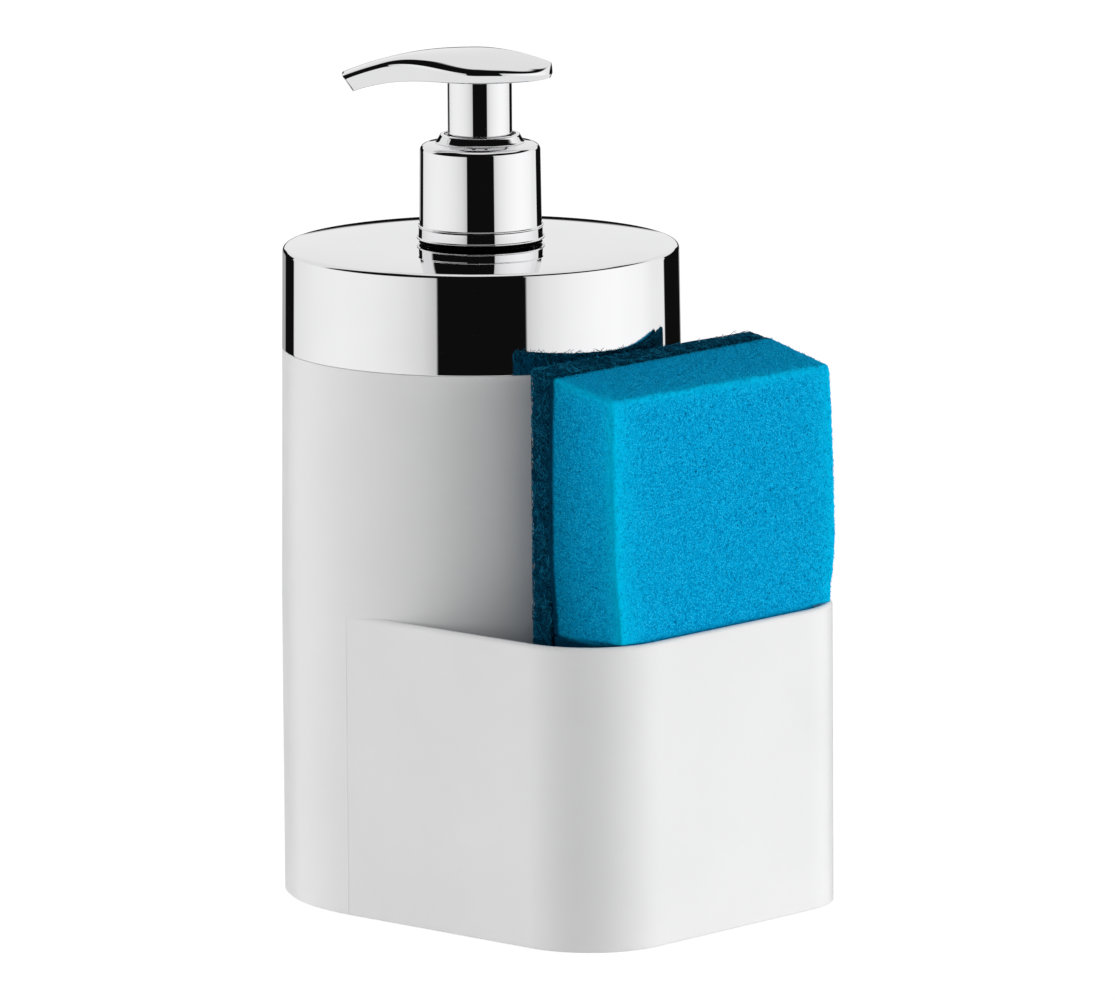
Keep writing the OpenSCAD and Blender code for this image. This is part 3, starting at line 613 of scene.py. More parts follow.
# %% Lock ring and sleeve
RING_TOP_Z, GUIDE_TOP_Z, GUIDE_Z = 188.7, 171.9, 170.3
RING_LIP_R, SINK_R, TUBE_R, TUBE_BORE_R, ROD_HOLE_R = 9.9, 8.85, 9.15, 8.25, 4.08
SINK_Z = RING_TOP_Z - 1.54
ring = turned_piece("lock_collar", [
    [TUBE_R, CAP_TOP_Z + 0.02], [RING_FOOT_R, CAP_TOP_Z + 0.02],
    [RING_FOOT_R - 0.3, CAP_TOP_Z + 0.10], [RING_FOOT_R - 0.5, CAP_TOP_Z + 0.35],
    [RING_LIP_R + 0.08, RING_TOP_Z - 0.45], [RING_LIP_R, RING_TOP_Z - 0.2],
    [RING_LIP_R - 0.3, RING_TOP_Z], [SINK_R, RING_TOP_Z], [SINK_R, SINK_Z],
    [TUBE_BORE_R, SINK_Z], [TUBE_BORE_R, GUIDE_TOP_Z], [ROD_HOLE_R, GUIDE_TOP_Z],
    [ROD_HOLE_R, GUIDE_Z], [TUBE_R, GUIDE_Z]], bright_chrome, soften=0.09)
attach(ring, "pump_body")
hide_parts("lock_ring")

SLEEVE_R, SLEEVE_WALL, SLEEVE_Z, HEAD_Z = 7.95, 0.8, 186.3, 202.9
sleeve = turned_piece("stem_tube", [
    [SLEEVE_R - SLEEVE_WALL, SLEEVE_Z], [SLEEVE_R, SLEEVE_Z], [SLEEVE_R, HEAD_Z - 0.01],
    [SLEEVE_R - SLEEVE_WALL, HEAD_Z - 0.01]], bright_chrome, soften=0.05)
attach(sleeve, "head")
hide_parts("stem_sleeve")

# %% [markdown]
# ## The head and its nozzle
#
# The head is one smooth body: a round back that draws in to a slim nozzle, which
# falls and droops towards its tip. It is a row of sections across its length. Each
# section is half an ellipse over the widest line, with two slanting flanks and a
# flat underside below it.

# %% Lines along the head
NOZZLE_TURN = math.radians(132)
REACH, HEAD_BACK, HEAD_HALF_W, NOZZLE_HALF_W = 34.0, 18.0, 13.0, 3.6
HEAD_LOW, HEAD_H, NOZZLE_FALL, FALL_POWER, BACK_FALL = HEAD_Z - 0.3, 7.32, 6.1, 2.3, 3.8
DROOP, DROOP_FROM, TIP_SLANT, CHANNEL_R = 2.95, 0.3, 2.75, 1.3
BACK_ROUND, FLANK_INSET, NECK_IN = 0.45, 0.45, REACH * 0.74
WIDE_SHARE, WIDE_RISE, NOZZLE_SQUARE, REAR_THIN = 0.29, 0.45, 0.35, 1.1


def head_lines(u):
    """Half width, crown, underside, widest line and shoulder power at a reach u in
    mm. The width falls by half a cosine to the nozzle and is an ellipse at the back.
    The crown falls by the reach to the power 2.3 in front and by its square behind,
    and at the very end it rounds down to the widest line. A lower power squares the
    section's shoulders, as towards the nozzle, and a higher one thins them, as
    towards the rear."""
    front = np.clip(u, 0, None) / REACH
    rear = np.clip(-u, 0, None) / HEAD_BACK
    width = np.where(
        u > 0,
        NOZZLE_HALF_W + (HEAD_HALF_W - NOZZLE_HALF_W)
        * (1 + np.cos(np.pi * np.clip(u / NECK_IN, 0, 1))) / 2,
        HEAD_HALF_W * np.sqrt(np.clip(1 - rear ** 2, 0, None)))
    low = HEAD_LOW - DROOP * np.clip((front - DROOP_FROM) / (1 - DROOP_FROM), 0, None) ** 2
    crown = HEAD_LOW + HEAD_H - NOZZLE_FALL * front ** FALL_POWER - BACK_FALL * rear ** 2
    neck = fade(u, NECK_IN / 2, NECK_IN)
    wide = low + (WIDE_SHARE + WIDE_RISE * neck) * (crown - low)
    end = np.clip((-u - HEAD_BACK + BACK_ROUND) / BACK_ROUND, 0, 1)
    return (width, wide + (crown - wide) * np.sqrt(1 - end ** 2), low, wide,
            1 - (1 - NOZZLE_SQUARE) * neck + REAR_THIN * rear * (1 - rear ** 6))


print("half width and crown at the middle:", *(v.round(2) for v in head_lines(0.0)[:2]))

# %% [markdown]
# Each section starts as plain corners and curves. It is then walked in even steps
# and blurred a little, which rounds its edges, and towards the tip it leans back.


# %% Sections
SECTION_POINTS, OVER_POINTS, UNDER_POINTS, SECTION_BLUR = 256, 240, 60, 0.0034
back_angles = np.linspace(0.02, np.pi / 2, 56)
reach = np.concatenate([-HEAD_BACK * np.cos(back_angles), np.linspace(0, REACH, 100)[1:]])
half_width, crown, low, wide, square = (v[:, None] for v in head_lines(reach))
over = np.linspace(0, np.pi, OVER_POINTS)[None]
foot_half = half_width * (1 - FLANK_INSET / np.where(reach[:, None] < 0, HEAD_HALF_W,
                                                     half_width))
across = np.concatenate([
    half_width * np.sign(np.cos(over)) * np.abs(np.cos(over)) ** square,
    foot_half * np.linspace(-1, 1, UNDER_POINTS)[None]], axis=1)
height = np.concatenate([wide + (crown - wide) * np.sin(over),
                         np.repeat(low, UNDER_POINTS, axis=1)], axis=1)


def even_loops(x, y, count, blur):
    """Walks every closed loop at `count` even steps and blurs its corners with a
    bell curve as wide as `blur` of its whole length."""
    loop = x + 1j * y
    loop = np.concatenate([loop, loop[:, :1]], axis=1)
    run = np.concatenate([np.zeros((len(loop), 1)),
                          np.cumsum(np.abs(np.diff(loop, axis=1)), axis=1)], axis=1)
    share = np.linspace(0, 1, count, endpoint=False)
    even = np.stack([np.interp(share * r[-1], r, p) for r, p in zip(run, loop)])
    bell = np.exp(-2 * (np.pi * np.fft.fftfreq(count, 1 / count) * blur) ** 2)
    return np.fft.ifft(np.fft.fft(even, axis=1) * bell, axis=1)


outline = even_loops(across, height, SECTION_POINTS, SECTION_BLUR)
along = np.repeat(reach[:, None], SECTION_POINTS, axis=1)
rise = (crown - outline.imag) / (crown - low)
along = along - TIP_SLANT * (np.clip(along, 0, None) / REACH) ** 4 * rise
under_share = np.clip((wide - outline.imag) / (wide - low), 0, 1)
along = along * np.where(along < 0, 1 - FLANK_INSET / HEAD_BACK * under_share, 1)
body_rows = np.stack([along, outline.real, outline.imag], axis=-1)
print("head sections:", len(body_rows))

# %% [markdown]
# The tip's rim is rounded, and its end face runs in to the channel, which points up
# the nozzle.

# %% Tip and channel
TIP_EDGE, BEND_U, PIPE_TAPER = 0.28, REACH * 0.55, 0.04
FORWARD = np.array([1, 0, 0])
tip = body_rows[-1]
tip_middle = np.array([tip[:, 0].mean(), 0, (crown[-1, 0] + low[-1, 0]) / 2])
_, bend_crown, bend_low, *_ = head_lines(np.array([BEND_U]))
bend = np.array([BEND_U, 0, (bend_crown[0] + bend_low[0]) / 2])
channel = (tip_middle - bend) / np.linalg.norm(tip_middle - bend)
channel_up = np.cross(channel, [0, 1, 0])
spread = tip - tip_middle
angle = np.arctan2(spread @ channel_up, spread[:, 1])[:, None]
round_hole = CHANNEL_R * (np.cos(angle) * [0, 1, 0] + np.sin(angle) * channel_up)
face_hole = tip_middle + round_hole
face_slope = np.polyfit(tip[:, 2], tip[:, 0], 1)[0]
face_hole[:, 0] = tip_middle[0] + face_slope * (face_hole[:, 2] - tip_middle[2])
turn_in = np.radians([18, 36, 54, 72, 90])[:, None, None]
inward = -spread / np.linalg.norm(spread, axis=1)[:, None]
lip_rows = tip + TIP_EDGE * (FORWARD * (np.sin(turn_in) - 1)
                             + inward * (1 - np.cos(turn_in)))
face_steps = np.array([0.3, 0.6, 0.9, 1.0])[:, None, None]
face_rows = lip_rows[-1] + (face_hole - lip_rows[-1]) * face_steps
pipe_depths = np.array([0.15, 1, 5, 12])[:, None, None]
pipe_rows = face_hole - channel * pipe_depths - round_hole * PIPE_TAPER
body_rows[-1] = body_rows[-1] - TIP_EDGE * FORWARD
print("channel falls by", round(math.degrees(math.asin(-channel[2])), 1), "degrees")


# %% Head
def drawn_in(row):
    """A row with all its points in their middle, which closes the end of a loft."""
    return np.repeat(row.mean(axis=0)[None, None], len(row), axis=1)


head_rows = np.concatenate([drawn_in(body_rows[0]), body_rows, lip_rows, face_rows,
                            pipe_rows, drawn_in(pipe_rows[-1])])
turn = np.array([[math.cos(NOZZLE_TURN), math.sin(NOZZLE_TURN), 0],
                 [-math.sin(NOZZLE_TURN), math.cos(NOZZLE_TURN), 0], [0, 0, 1]])
head = add_piece("head_and_nozzle", head_rows @ turn * MM,
                 grid_faces(len(head_rows), SECTION_POINTS), bright_chrome)
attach(head, "head")
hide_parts("pump_head")
print("head faces:", len(head.data.polygons))

# %% [markdown]
# ## Return spring
#
# Eight even turns of drawn wire. It is a tube carried along a helix and closed at
# both ends.

# %% Spring
SPRING_R, WIRE_R, SPRING_FOOT, SPRING_LEN, SPRING_TURNS = 4.95, 0.45, 136.88, 24.0, 8
END_SHARP, STEPS_A_TURN, WIRE_SIDES = 400, 40, 12
at = np.linspace(0, 1, SPRING_TURNS * STEPS_A_TURN + 1)[:, None]
coil = 2 * np.pi * SPRING_TURNS * at
wire = np.linspace(0, 2 * np.pi, WIRE_SIDES, endpoint=False)[None]
# The wire keeps its thickness up to its ends, and closes there
wire_r = WIRE_R * np.sqrt(np.clip(1 - (np.abs(2 * at - 1) / 1.0001) ** END_SHARP, 1e-6, 1))
coil_z = SPRING_FOOT + WIRE_R + (SPRING_LEN - 2 * WIRE_R) * at
spring = add_piece("coil_spring", np.stack([
    (SPRING_R + wire_r * np.cos(wire)) * np.cos(coil),
    (SPRING_R + wire_r * np.cos(wire)) * np.sin(coil),
    coil_z + wire_r * np.sin(wire)], axis=-1) * MM,
    grid_faces(len(at), wire.size), spring_wire)
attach(spring, "pump_body")
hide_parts("return_spring")
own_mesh(spring)
print("spring faces:", len(spring.data.polygons))

# %% [markdown]
# ## Sponge
#
# The sponge has two layers. The thick one is fine polyurethane foam, cut from a
# block: its skin is a web of tiny struts round open cells, its front corners are
# squeezed round by the pocket, and above the rim its sides swell out again. It is
# a closed sheet of rings: up the side, over the rounded ends, and in across the top
# and the bottom.

# %% Sizes and rings of the sponge
SPONGE_W, SPONGE_H, SPONGE_Z, SPONGE_SHIFT = 78.5, 109.1, 25.05, 1.75
SPONGE_RISE, SPONGE_LEAN = 5.9, 1.0
PAD_BACK, GLUE_Y, FOAM_FRONT = 50.35, 56.85, 80.25
RIM_Z = 75.0


def ring_of(half_w, half_t, back_r, front_r, count):
    """Points at even steps along a rectangle with rounded corners, and their outward
    directions, for arrays of sizes. Each of the four parts is a quarter circle and
    the straight side after it, in turn from the front's right corner."""
    half_w, half_t, back_r, front_r = (
        np.atleast_1d(v).astype(float)[:, None] for v in (half_w, half_t, back_r, front_r))
    corner_r = [front_r, front_r, back_r, back_r]
    sides = [2 * half_w - 2 * front_r, 2 * half_t - front_r - back_r,
             2 * half_w - 2 * back_r, 2 * half_t - front_r - back_r]
    centre_x = [half_w - front_r, front_r - half_w, back_r - half_w, half_w - back_r]
    centre_y = [half_t - front_r, half_t - front_r, back_r - half_t, back_r - half_t]
    parts = [part for r, side in zip(corner_r, sides) for part in (np.pi / 2 * r, side)]
    ends = np.cumsum(np.concatenate(parts, axis=1), axis=1)
    along = np.linspace(0, 1, count, endpoint=False)[None] * ends[:, -1:]
    x, y, nx, ny = (np.zeros_like(along) for _ in range(4))
    for k, r in enumerate(corner_r):
        start = ends[:, 2 * k - 1:2 * k] if k else 0 * ends[:, :1]
        turned = np.clip((along - start) / np.maximum(r, 1e-9), 0, np.pi / 2)
        angle, side_way = np.pi / 2 * k + turned, np.pi / 2 * (k + 1)
        past = np.clip(along - ends[:, 2 * k:2 * k + 1], 0, None)
        here = (along >= start) & (along < ends[:, 2 * k + 1:2 * k + 2])
        x = np.where(here, centre_x[k] + r * np.cos(angle) - past * np.sin(side_way), x)
        y = np.where(here, centre_y[k] + r * np.sin(angle) + past * np.cos(side_way), y)
        nx = np.where(here, np.cos(angle), nx)
        ny = np.where(here, np.sin(angle), ny)
    return x, y, nx, ny


print("a ring of 8 points round a square of 2 by 2:", ring_of(1, 1, 0, 0, 8)[0].round(1))


# %% Soft blocks
def top_change(x, y, twist=0.0):
    """How much higher the top is at a place: it rises evenly to the back and falls
    evenly to the right, and `twist` lifts its far right corner."""
    return (SPONGE_RISE * (FOAM_FRONT - y) / (FOAM_FRONT - PAD_BACK)
            - (x / SPONGE_W + 0.5) * (SPONGE_LEAN
                                      - twist * (FOAM_FRONT - y) / (FOAM_FRONT - GLUE_Y)))


def above_rim(z, tall):
    """Share of the free height that a place has reached: 0 at the rim, 1 at the top."""
    return np.clip((z - RIM_Z) / (SPONGE_Z + tall - RIM_Z), 0, 1)


def soft_block(y_back, y_front, r, front_r_at, count, spacing, pull=0.0, top_up=0.0,
               twist=0.0):
    """A block with rounded edges, as rings: levels up its height with their inset,
    then rings that shrink across its two ends. Its top rises towards the back and
    leans down to the right, less so by `twist` at the far right corner, and its
    front is drawn back by `pull` times the square of the height. Gives the points
    and the outward directions."""
    half_t, tall = (y_front - y_back) / 2, SPONGE_H + top_up
    arc_a = np.radians(np.linspace(0, 90, 7))
    ends_in = np.arange(half_t - 0.02, r, -spacing * 1.5)
    side_z = np.arange(r + spacing, tall - r, spacing)
    inset = np.concatenate([ends_in, r * (1 - np.sin(arc_a)), 0 * side_z,
                            r * (1 - np.sin(arc_a[::-1])), ends_in[::-1]])
    level = np.concatenate([0 * ends_in, r * (1 - np.cos(arc_a)), side_z,
                            tall - r * (1 - np.cos(arc_a[::-1])), 0 * ends_in + tall])
    tilt = np.concatenate([0 * ends_in - 1, -np.cos(arc_a), 0 * side_z,
                           np.cos(arc_a[::-1]), 0 * ends_in + 1])[:, None]
    front_r = np.clip(front_r_at(SPONGE_Z + level) - inset, 0.01, half_t - inset)
    x, y, nx, ny = ring_of(SPONGE_W / 2 - inset, half_t - inset,
                           np.clip(r - inset, 0.01, None), front_r, count)
    s = level[:, None] / tall
    y_at = y_back + (y + half_t) * (1 - pull * s ** 2 / (2 * half_t))
    z_at = SPONGE_Z + level[:, None]
    z_at = z_at + above_rim(z_at, tall) * top_change(x, y_at, twist)
    points = np.stack([SPONGE_SHIFT + x, -y_at, z_at], axis=-1)
    level_part = np.sqrt(1 - tilt ** 2)
    return points, np.stack([nx * level_part, -ny * level_part, tilt + 0 * nx], axis=-1)


print("at the rim the top's rise has the share", above_rim(RIM_Z, SPONGE_H))


# %% Ripple and padded pieces
def ripple(points, seed, longest, shortest, waves):
    """Sum of plane waves in random directions, with random wavelengths between the
    two given in mm, scaled so that it varies by about one either way."""
    chance = np.random.default_rng(seed)
    ways = chance.normal(size=(3, waves))
    ways /= np.linalg.norm(ways, axis=0)
    lengths = chance.uniform(shortest, longest, waves)
    phase = chance.uniform(0, 2 * np.pi, waves)
    waves_at = np.sin(points @ (ways * 2 * np.pi / lengths) + phase)
    return waves_at.sum(axis=-1) / math.sqrt(waves)


def unit(vectors):
    """Vectors brought to length one: each is divided by its own length."""
    return vectors / np.maximum(np.linalg.norm(vectors, axis=-1, keepdims=True), 1e-9)


def soft_piece(name, skin, skin_faces, loose, loose_faces, material, values):
    """A padded piece in one mesh: a closed skin, and loose parts whose faces count
    their own points from 0. `values` holds its attributes, one number a point."""
    faces = skin_faces.tolist()
    for part in loose_faces:
        faces += (part + len(skin)).tolist()
    piece = add_piece(name, np.vstack([skin, loose.reshape(-1, 3)]) * MM, faces, material,
                      closed=False)
    for title, value in values.items():
        piece.data.attributes.new(title, "FLOAT", "POINT").data.foreach_set("value", value)
    print(name, "triangles:", sum(len(face) - 2 for face in faces))
    return piece


print("the top's back edge is", top_change(0, PAD_BACK) - top_change(0, FOAM_FRONT),
      "mm above its front edge")


# %% [markdown]
# Foam scatters light inside itself, so a cut edge, where light comes in from both
# sides, looks paler; that light is painted into the colour as a pale edge light. The
# corner along the glue line lies in shade, and is painted darker as painted shade.
# The mesh keeps both in attributes. The cells show as fine pale bumps 0.44
# millimetres apart, with darker gaps and a few open pores among them.

# %% Foam finish
CELL, PORE_SPACING = 0.44, 3.4
foam_blue, tree = new_material("cut_polyurethane_foam")
where = add_node(tree, "TexCoord")
cells, pores = (add_node(tree, "TexVoronoi", {"Scale": per_mm(period), "Randomness": 1.0},
                         {"Vector": (where, "Object")}) for period in (CELL, PORE_SPACING))
tone = set_stops(add_node(tree, "ValToRGB", {}, {"Fac": (cells, "Distance")}),
                 [(0.08, "#44D0F4"), (0.26, "#0EB8E9"), (0.52, "#00A2D9"),
                  (0.80, "#0092C8")])
open_pore = add_node(tree, "MapRange", {"From Min": 0.05, "From Max": 0.085,
                                        "To Min": 1, "To Max": 0},
                     {"Value": (pores, "Distance")})
edge_light_of, shade_of = (add_node(tree, "Attribute", {"attribute_name": name})
                      for name in ("painted_edge_light", "painted_foam_shade"))
tint = (tone, 0)
# Darker open pores, then the painted edge light and the painted shade, are mixed into the
# colour
for colour, share in (("#00507A", (open_pore, 0)), ("#00C6F2", (edge_light_of, "Fac")),
                      ("#00263C", (shade_of, "Fac"))):
    tint = (add_node(tree, "Mix", {"data_type": "RGBA", 7: linear(colour)},
                     {0: share, 6: tint}), 2)
skin = add_node(tree, "Bump", {"Strength": 0.5, "Distance": 0.2 * MM},
                {"Height": (pattern(tree, 2.4, detail=3, roughness=0.6), 0)})
for source, strength, depth in (((cells, "Distance"), 0.5, 0.17),
                                ((open_pore, 0), 0.8, 0.3)):
    skin = add_node(tree, "Bump", {"Strength": strength, "Distance": depth * MM,
                                   "invert": True}, {"Height": source, "Normal": (skin, 0)})
finish_with(tree, {"Roughness": 1.0, "Specular IOR Level": 0.03},
            {"Base Color": tint, "Normal": (skin, 0)})
print("foam cells:", CELL, "mm, pores:", PORE_SPACING, "mm apart")

# %% [markdown]
# The foam fills the pocket with round corners, steps out square over the rim, and
# swells to the sides above it. A groove runs along the glue line, and a fine ripple
# roughens the whole skin.

# %% Foam skin
SQUEEZED_R, FOAM_EDGE_R, BULGE_LEFT, BULGE_RIGHT = 13.3, 1.2, 1.5, 1.3
GLUE_GROOVE, FOAM_PULL, FOAM_TWIST, FOOT_PINCH, FOOT_SINK = 1.3, 2.2, 1.4, 1.1, 0.25
points, outward = soft_block(
    GLUE_Y, FOAM_FRONT, FOAM_EDGE_R,
    lambda z: SQUEEZED_R + (FOAM_EDGE_R - SQUEEZED_R) * fade(z, RIM_Z + 0.1, 0.05),
    count=372, spacing=0.55, pull=FOAM_PULL, twist=FOAM_TWIST)
x_at, y_at, z_at = (points[..., k] for k in range(3))
free = fade(z_at, RIM_Z + 10, 20) * (1 - 0.42 * np.clip((z_at - 108) / 26, 0, 1) ** 2)
across = (x_at - SPONGE_SHIFT) / (SPONGE_W / 2)
points[..., 0] += free * across * np.where(across > 0, BULGE_RIGHT, BULGE_LEFT)
points[..., 0] -= (FOOT_PINCH * np.exp(-((z_at - RIM_Z) / 7) ** 2)
                   * np.clip(across, 0, 1) ** 6)
grooved = (1 - np.abs(outward[..., 1])) * (1 - 0.6 * np.abs(outward[..., 2]))
points += outward * (
    0.06 * ripple(points, 5, 5.0, 1.4, 90) + 0.07 * ripple(points, 6, 1.7, 1.1, 60)
    - FOOT_SINK * (1 - fade(z_at, RIM_Z - 1, 4))
    - GLUE_GROOVE * grooved * np.exp(-((-y_at - GLUE_Y) / 1.3) ** 2))[..., None]
print("foam skin points:", points.shape[:2])

# %% [markdown]
# How near a point is to a cut edge is the lesser of its ways to two faces. The
# painted edge light and the painted shade along the glue line fall off with that
# distance. Painted shade also darkens the side faces towards the bottom, the top a
# little near the back, and the foot in a band where it goes into the pocket.

# %% Painted edge light and painted shade of the foam
from_left, from_right = (np.abs(across + end) * SPONGE_W / 2 for end in (1, -1))
from_front = FOAM_FRONT - FOAM_PULL * ((z_at - SPONGE_Z) / SPONGE_H) ** 2 + y_at
from_back = -y_at - GLUE_Y
from_top = (SPONGE_Z + SPONGE_H + top_change(x_at - SPONGE_SHIFT, -y_at, FOAM_TWIST)
            - z_at)


def edge_glow(first, second, reach_mm):
    """Falls from 1 at the edge of two faces by e every `reach_mm`."""
    return np.exp(-np.maximum(np.hypot(first, second) - 0.5, 0) / reach_mm)


on_left, on_top = fade(outward[..., 0], -0.7, 0.5), fade(outward[..., 2], 0.7, 0.5)
on_side = (1 - on_left) * (1 - on_top)
# Painted edge light: a pale colour laid along the foam's cut edges
painted_edge_light = np.max([
    0.95 * edge_glow(from_left, from_front, 2.0 + 2.6 * on_left),
    0.85 * edge_glow(from_right, from_front, 4.0),
    0.60 * edge_glow(from_top, from_front, 1.4), 0.75 * edge_glow(from_top, from_left, 1.5),
    0.30 * edge_glow(from_top, from_right, 1.1)], axis=0).ravel()
# Painted shade: darker by the glue line, down the side faces towards the bottom, a little
# on the top near the back, and in a band at the foot by the rim
foam_shade_paint = np.clip(
    0.95 * (1 - fade(from_back, 2.1, 1.8))
    + on_side * (0.34 * np.exp(-(from_back / 9) ** 2)
                 + 0.19 * np.clip((SPONGE_Z + SPONGE_H - z_at) / 45, 0, 1))
    + on_top * 0.05 * np.exp(-(from_back / 12) ** 2)
    + 0.8 * np.exp(-((z_at - RIM_Z + 1.5) / 1.5) ** 2), 0, 0.97).ravel()
print("share of the skin that is pale:", round(float((painted_edge_light > 0.5).mean()), 3))

# %% [markdown]
# Loose struts are thin three-sided spikes that lean every way, on the open faces
# only. Each stands on a place chosen by the faces' areas.

# %% Loose struts
STRUTS, STRUT_TIP_LIGHT = 26000, 0.35
# A direction that hardly any strut or fibre has, to cross theirs with
SLANTED = np.array([0.31, 0.52, 0.79])
chance = np.random.default_rng(21)
quads = grid_faces(*points.shape[:2])
skin_points = points.reshape(-1, 3)
corners = skin_points[quads]
faced = np.cross(corners[:, 2] - corners[:, 0], corners[:, 3] - corners[:, 1]) / 2
area = np.linalg.norm(faced, axis=1)
quad_out = unit(outward.reshape(-1, 3)[quads].mean(axis=1))
open_face = ((corners[:, :, 2].mean(axis=1) > RIM_Z + 1.5) & (quad_out[:, 1] < 0.5)
             & (area > 0.01))
pick = chance.choice(len(quads), STRUTS, p=area * open_face / (area * open_face).sum())
share = chance.uniform(size=(2, STRUTS, 1))
corner = corners[pick]
root = ((1 - share[0]) * ((1 - share[1]) * corner[:, 0] + share[1] * corner[:, 1])
        + share[0] * ((1 - share[1]) * corner[:, 3] + share[1] * corner[:, 2]))
lean = quad_out[pick] + 0.9 * chance.normal(size=(STRUTS, 3))
sunk = np.minimum((lean * quad_out[pick]).sum(axis=1) - 0.35, 0)[:, None]
lean = unit(lean - sunk * quad_out[pick])
side = unit(np.cross(lean, SLANTED))
spin = np.radians([0, 120, 240])[None, :, None]
strut_r = chance.uniform(0.07, 0.12, (STRUTS, 1, 1))
strut_len = chance.uniform(0.25, 0.65, (STRUTS, 1))
base = root[:, None] - 0.06 * lean[:, None] + strut_r * (
    np.cos(spin) * side[:, None] + np.sin(spin) * np.cross(lean, side)[:, None])
spikes = np.concatenate([base, (root + lean * strut_len)[:, None]], axis=1)
spike_faces = (np.array([[0, 1, 3], [1, 2, 3], [2, 0, 3], [0, 2, 1]])[None]
               + 4 * np.arange(STRUTS)[:, None, None]).reshape(-1, 3)
print("struts:", STRUTS)

# %% Foam piece
quads = facing_out(skin_points, quads)
root_point = quads[pick][:, 0]
# Each strut carries the painted edge light of its root, and its tip a painted highlight
strut_painted_light = np.clip(np.repeat(painted_edge_light[root_point], 4)
                     + np.tile([0, 0, 0, STRUT_TIP_LIGHT], STRUTS), 0, 1)
foam = soft_piece("foam_block", skin_points, quads, spikes, [spike_faces], foam_blue, {
    "painted_edge_light": np.concatenate([painted_edge_light, strut_painted_light]),
    "painted_foam_shade": np.concatenate([foam_shade_paint, np.repeat(foam_shade_paint[root_point], 4)])})
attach(foam, "sponge")
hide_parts("sponge_foam")

# %% [markdown]
# The thin layer is a scouring fleece: crimped nylon fibres, laid at random and
# bonded. Its core is a rough dark block, and several thousand fibres lie over it,
# each a thin three-sided tube bent round the block's edges. Some stand off at the
# edges as stray hairs.

# %% Fleece finish
fleece, tree = new_material("bonded_nylon_fleece")
tangle = pattern(tree, 1.1, detail=3, roughness=0.7, distortion=1.6)
strands = set_stops(add_node(tree, "ValToRGB", {}, {"Fac": (tangle, 0)}),
                    [(0.41, "#001726"), (0.50, "#005F86"), (0.59, "#001F33")])
fibre_of = add_node(tree, "Attribute", {"attribute_name": "fibre_tone"})
dyed = add_node(tree, "Mix", {"data_type": "RGBA", 7: linear("#2AA6D2")},
                {0: (fibre_of, "Fac"), 6: (strands, 0)})
rough_skin = add_node(tree, "Bump", {"Strength": 1.0, "Distance": 0.4 * MM},
                      {"Height": (tangle, 0)})
finish_with(tree, {"Roughness": 0.85, "Specular IOR Level": 0.03},
            {"Base Color": (dyed, 2), "Normal": (rough_skin, 0)})
print("fleece nodes:", len(tree.nodes))

# %% Fleece core
PAD_EDGE_R, PAD_UP, PAD_WIDER, CORE_SINK = 1.0, 0.2, 1.8, 0.34


def pad_spread(x, z):
    """How far the fleece's right end swells out above the rim: PAD_WIDER times the
    share of the half width, times the share of a rise of 24 mm from the rim."""
    share = np.clip(x - SPONGE_SHIFT, 0, None) / (SPONGE_W / 2) * fade(z, RIM_Z + 12, 24)
    return share[..., None] * np.array([PAD_WIDER, 0, 0])


points, outward = soft_block(PAD_BACK, GLUE_Y, PAD_EDGE_R, lambda z: 0 * z + PAD_EDGE_R,
                             count=236, spacing=0.75, top_up=PAD_UP)
points = points + pad_spread(points[..., 0], points[..., 2])
points = points - outward * (CORE_SINK + 0.14 * ripple(points, 8, 3.0, 1.6, 60))[..., None]
core_points = points.reshape(-1, 3)
core_faces = facing_out(core_points, grid_faces(*points.shape[:2]))
print("fleece core faces:", len(core_faces))

# %% [markdown]
# A fibre starts on one of the block's faces and runs along it in a crimped line. Its
# track is held to a box inside the block and set off from it by the edge's radius,
# so it bends round the edges as the block does.

# %% Fibre tracks
FIBRES, FIBRE_RINGS, FIBRE_SIDES, STRAY_SHARE, MAX_LIFT = 11000, 7, 3, 0.14, 0.35
chance = np.random.default_rng(11)
every = np.arange(FIBRES)
pad_tall = SPONGE_H + PAD_UP
inner = np.array([SPONGE_W / 2, (GLUE_Y - PAD_BACK) / 2, pad_tall / 2]) - PAD_EDGE_R
middle = np.array([SPONGE_SHIFT, -(GLUE_Y + PAD_BACK) / 2, SPONGE_Z + pad_tall / 2])
face_axis = chance.choice(3, FIBRES, p=[0.30, 0.36, 0.34])
seed_at = chance.uniform(-1, 1, (FIBRES, 3)) * (inner + PAD_EDGE_R)
side_of = chance.choice([-1, 1], FIBRES)
seed_at[every, face_axis] = side_of * (inner + PAD_EDGE_R)[face_axis]
heading = chance.normal(size=(FIBRES, 3))
heading[every, face_axis] *= 0.1
heading = unit(heading)
bend_way = np.cross(heading, chance.normal(size=(FIBRES, 3)))
fibre_len = chance.uniform(1.2, 4.8, FIBRES)[:, None]
t = np.linspace(-0.5, 0.5, FIBRE_RINGS)
crimp = chance.uniform(-0.55, 0.55, (FIBRES, 1)) * fibre_len
wander = crimp * (4 * t ** 2) - 0.45 * np.sin(10 * t + fibre_len)
track = (seed_at[:, None] + heading[:, None] * (t * fibre_len)[..., None]
         + bend_way[:, None] * wander[..., None])
held = np.clip(track, -inner, inner)
off = track - held
gone = np.linalg.norm(off, axis=-1, keepdims=True)
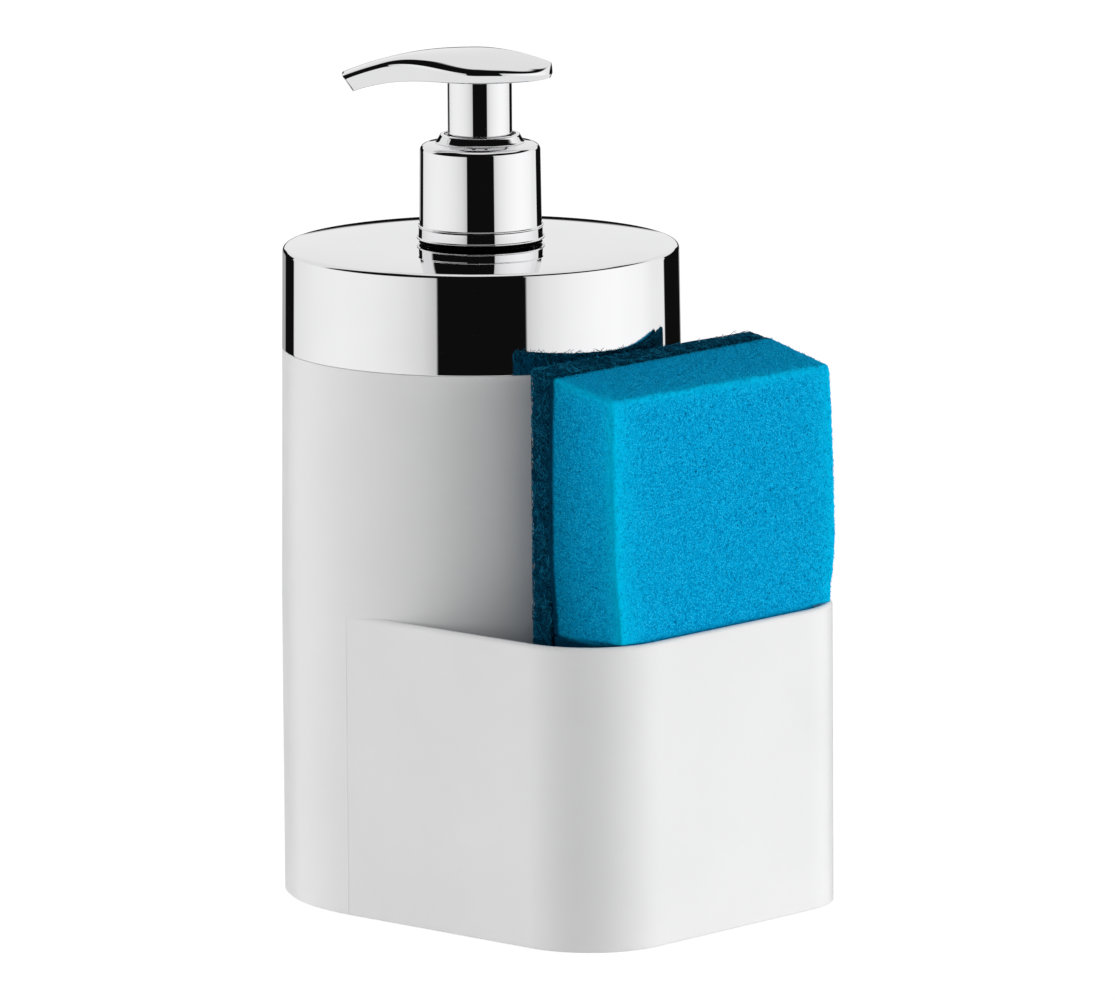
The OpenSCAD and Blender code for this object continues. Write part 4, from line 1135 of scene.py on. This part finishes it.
is_stray = chance.uniform(size=(FIBRES, 1, 1)) < STRAY_SHARE
stray = is_stray * np.clip(2 * t, 0, 1)[None, :, None]
lift = chance.uniform(-MAX_LIFT, MAX_LIFT, (FIBRES, 1, 1))
lift = lift + stray * chance.uniform(0.2, 1.1, (FIBRES, 1, 1))
# Fibres lie flat on the glued face and in the pocket
lift = np.where(held[..., 1:2] > inner[1] - 0.01, np.minimum(lift, 0.1), lift)
lift = np.where(track[..., 2:3] + middle[2] < RIM_Z + 2, np.minimum(lift, 0.05), lift)
track = held + np.where(gone > 1e-6, unit(off), 0) * (PAD_EDGE_R + lift)
track[..., 2] += (top_change(track[..., 0], -middle[1] - track[..., 1])
                  * above_rim(track[..., 2] + middle[2], pad_tall))
track += pad_spread(track[..., 0] + middle[0], track[..., 2] + middle[2])
print("fibres:", FIBRES, "of which stray:", int(is_stray.sum()))

# %% Fibre tubes
ahead = unit(np.gradient(track, axis=1))
side = unit(np.cross(ahead, SLANTED))
other = np.cross(ahead, side)
spin = np.linspace(0, 2 * np.pi, FIBRE_SIDES, endpoint=False)[:, None]
fibre_r = chance.uniform(0.045, 0.085, (FIBRES, 1, 1, 1))
tubes = (track[:, :, None] + middle
         + fibre_r * (side[:, :, None] * np.cos(spin) + other[:, :, None] * np.sin(spin)))
per_fibre = FIBRE_RINGS * FIBRE_SIDES
first_point = every[:, None, None] * per_fibre
tube_faces = (grid_faces(FIBRE_RINGS, FIBRE_SIDES)[None] + first_point).reshape(-1, 4)
cap = np.array([[0, 2, 1], [per_fibre - 3, per_fibre - 2, per_fibre - 1]])
cap_faces = (cap[None] + first_point).reshape(-1, 3)
fibre_tone = np.repeat(chance.uniform(0, 1, FIBRES) ** 3, per_fibre)
print("fibre points:", tubes.size // 3)

# %% Fleece piece
pad = soft_piece("scouring_fleece", core_points, core_faces, tubes,
                 [tube_faces, cap_faces], fleece,
                 {"fibre_tone": np.concatenate([np.zeros(len(core_points)), fibre_tone])})
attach(pad, "sponge")
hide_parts("scouring_pad")
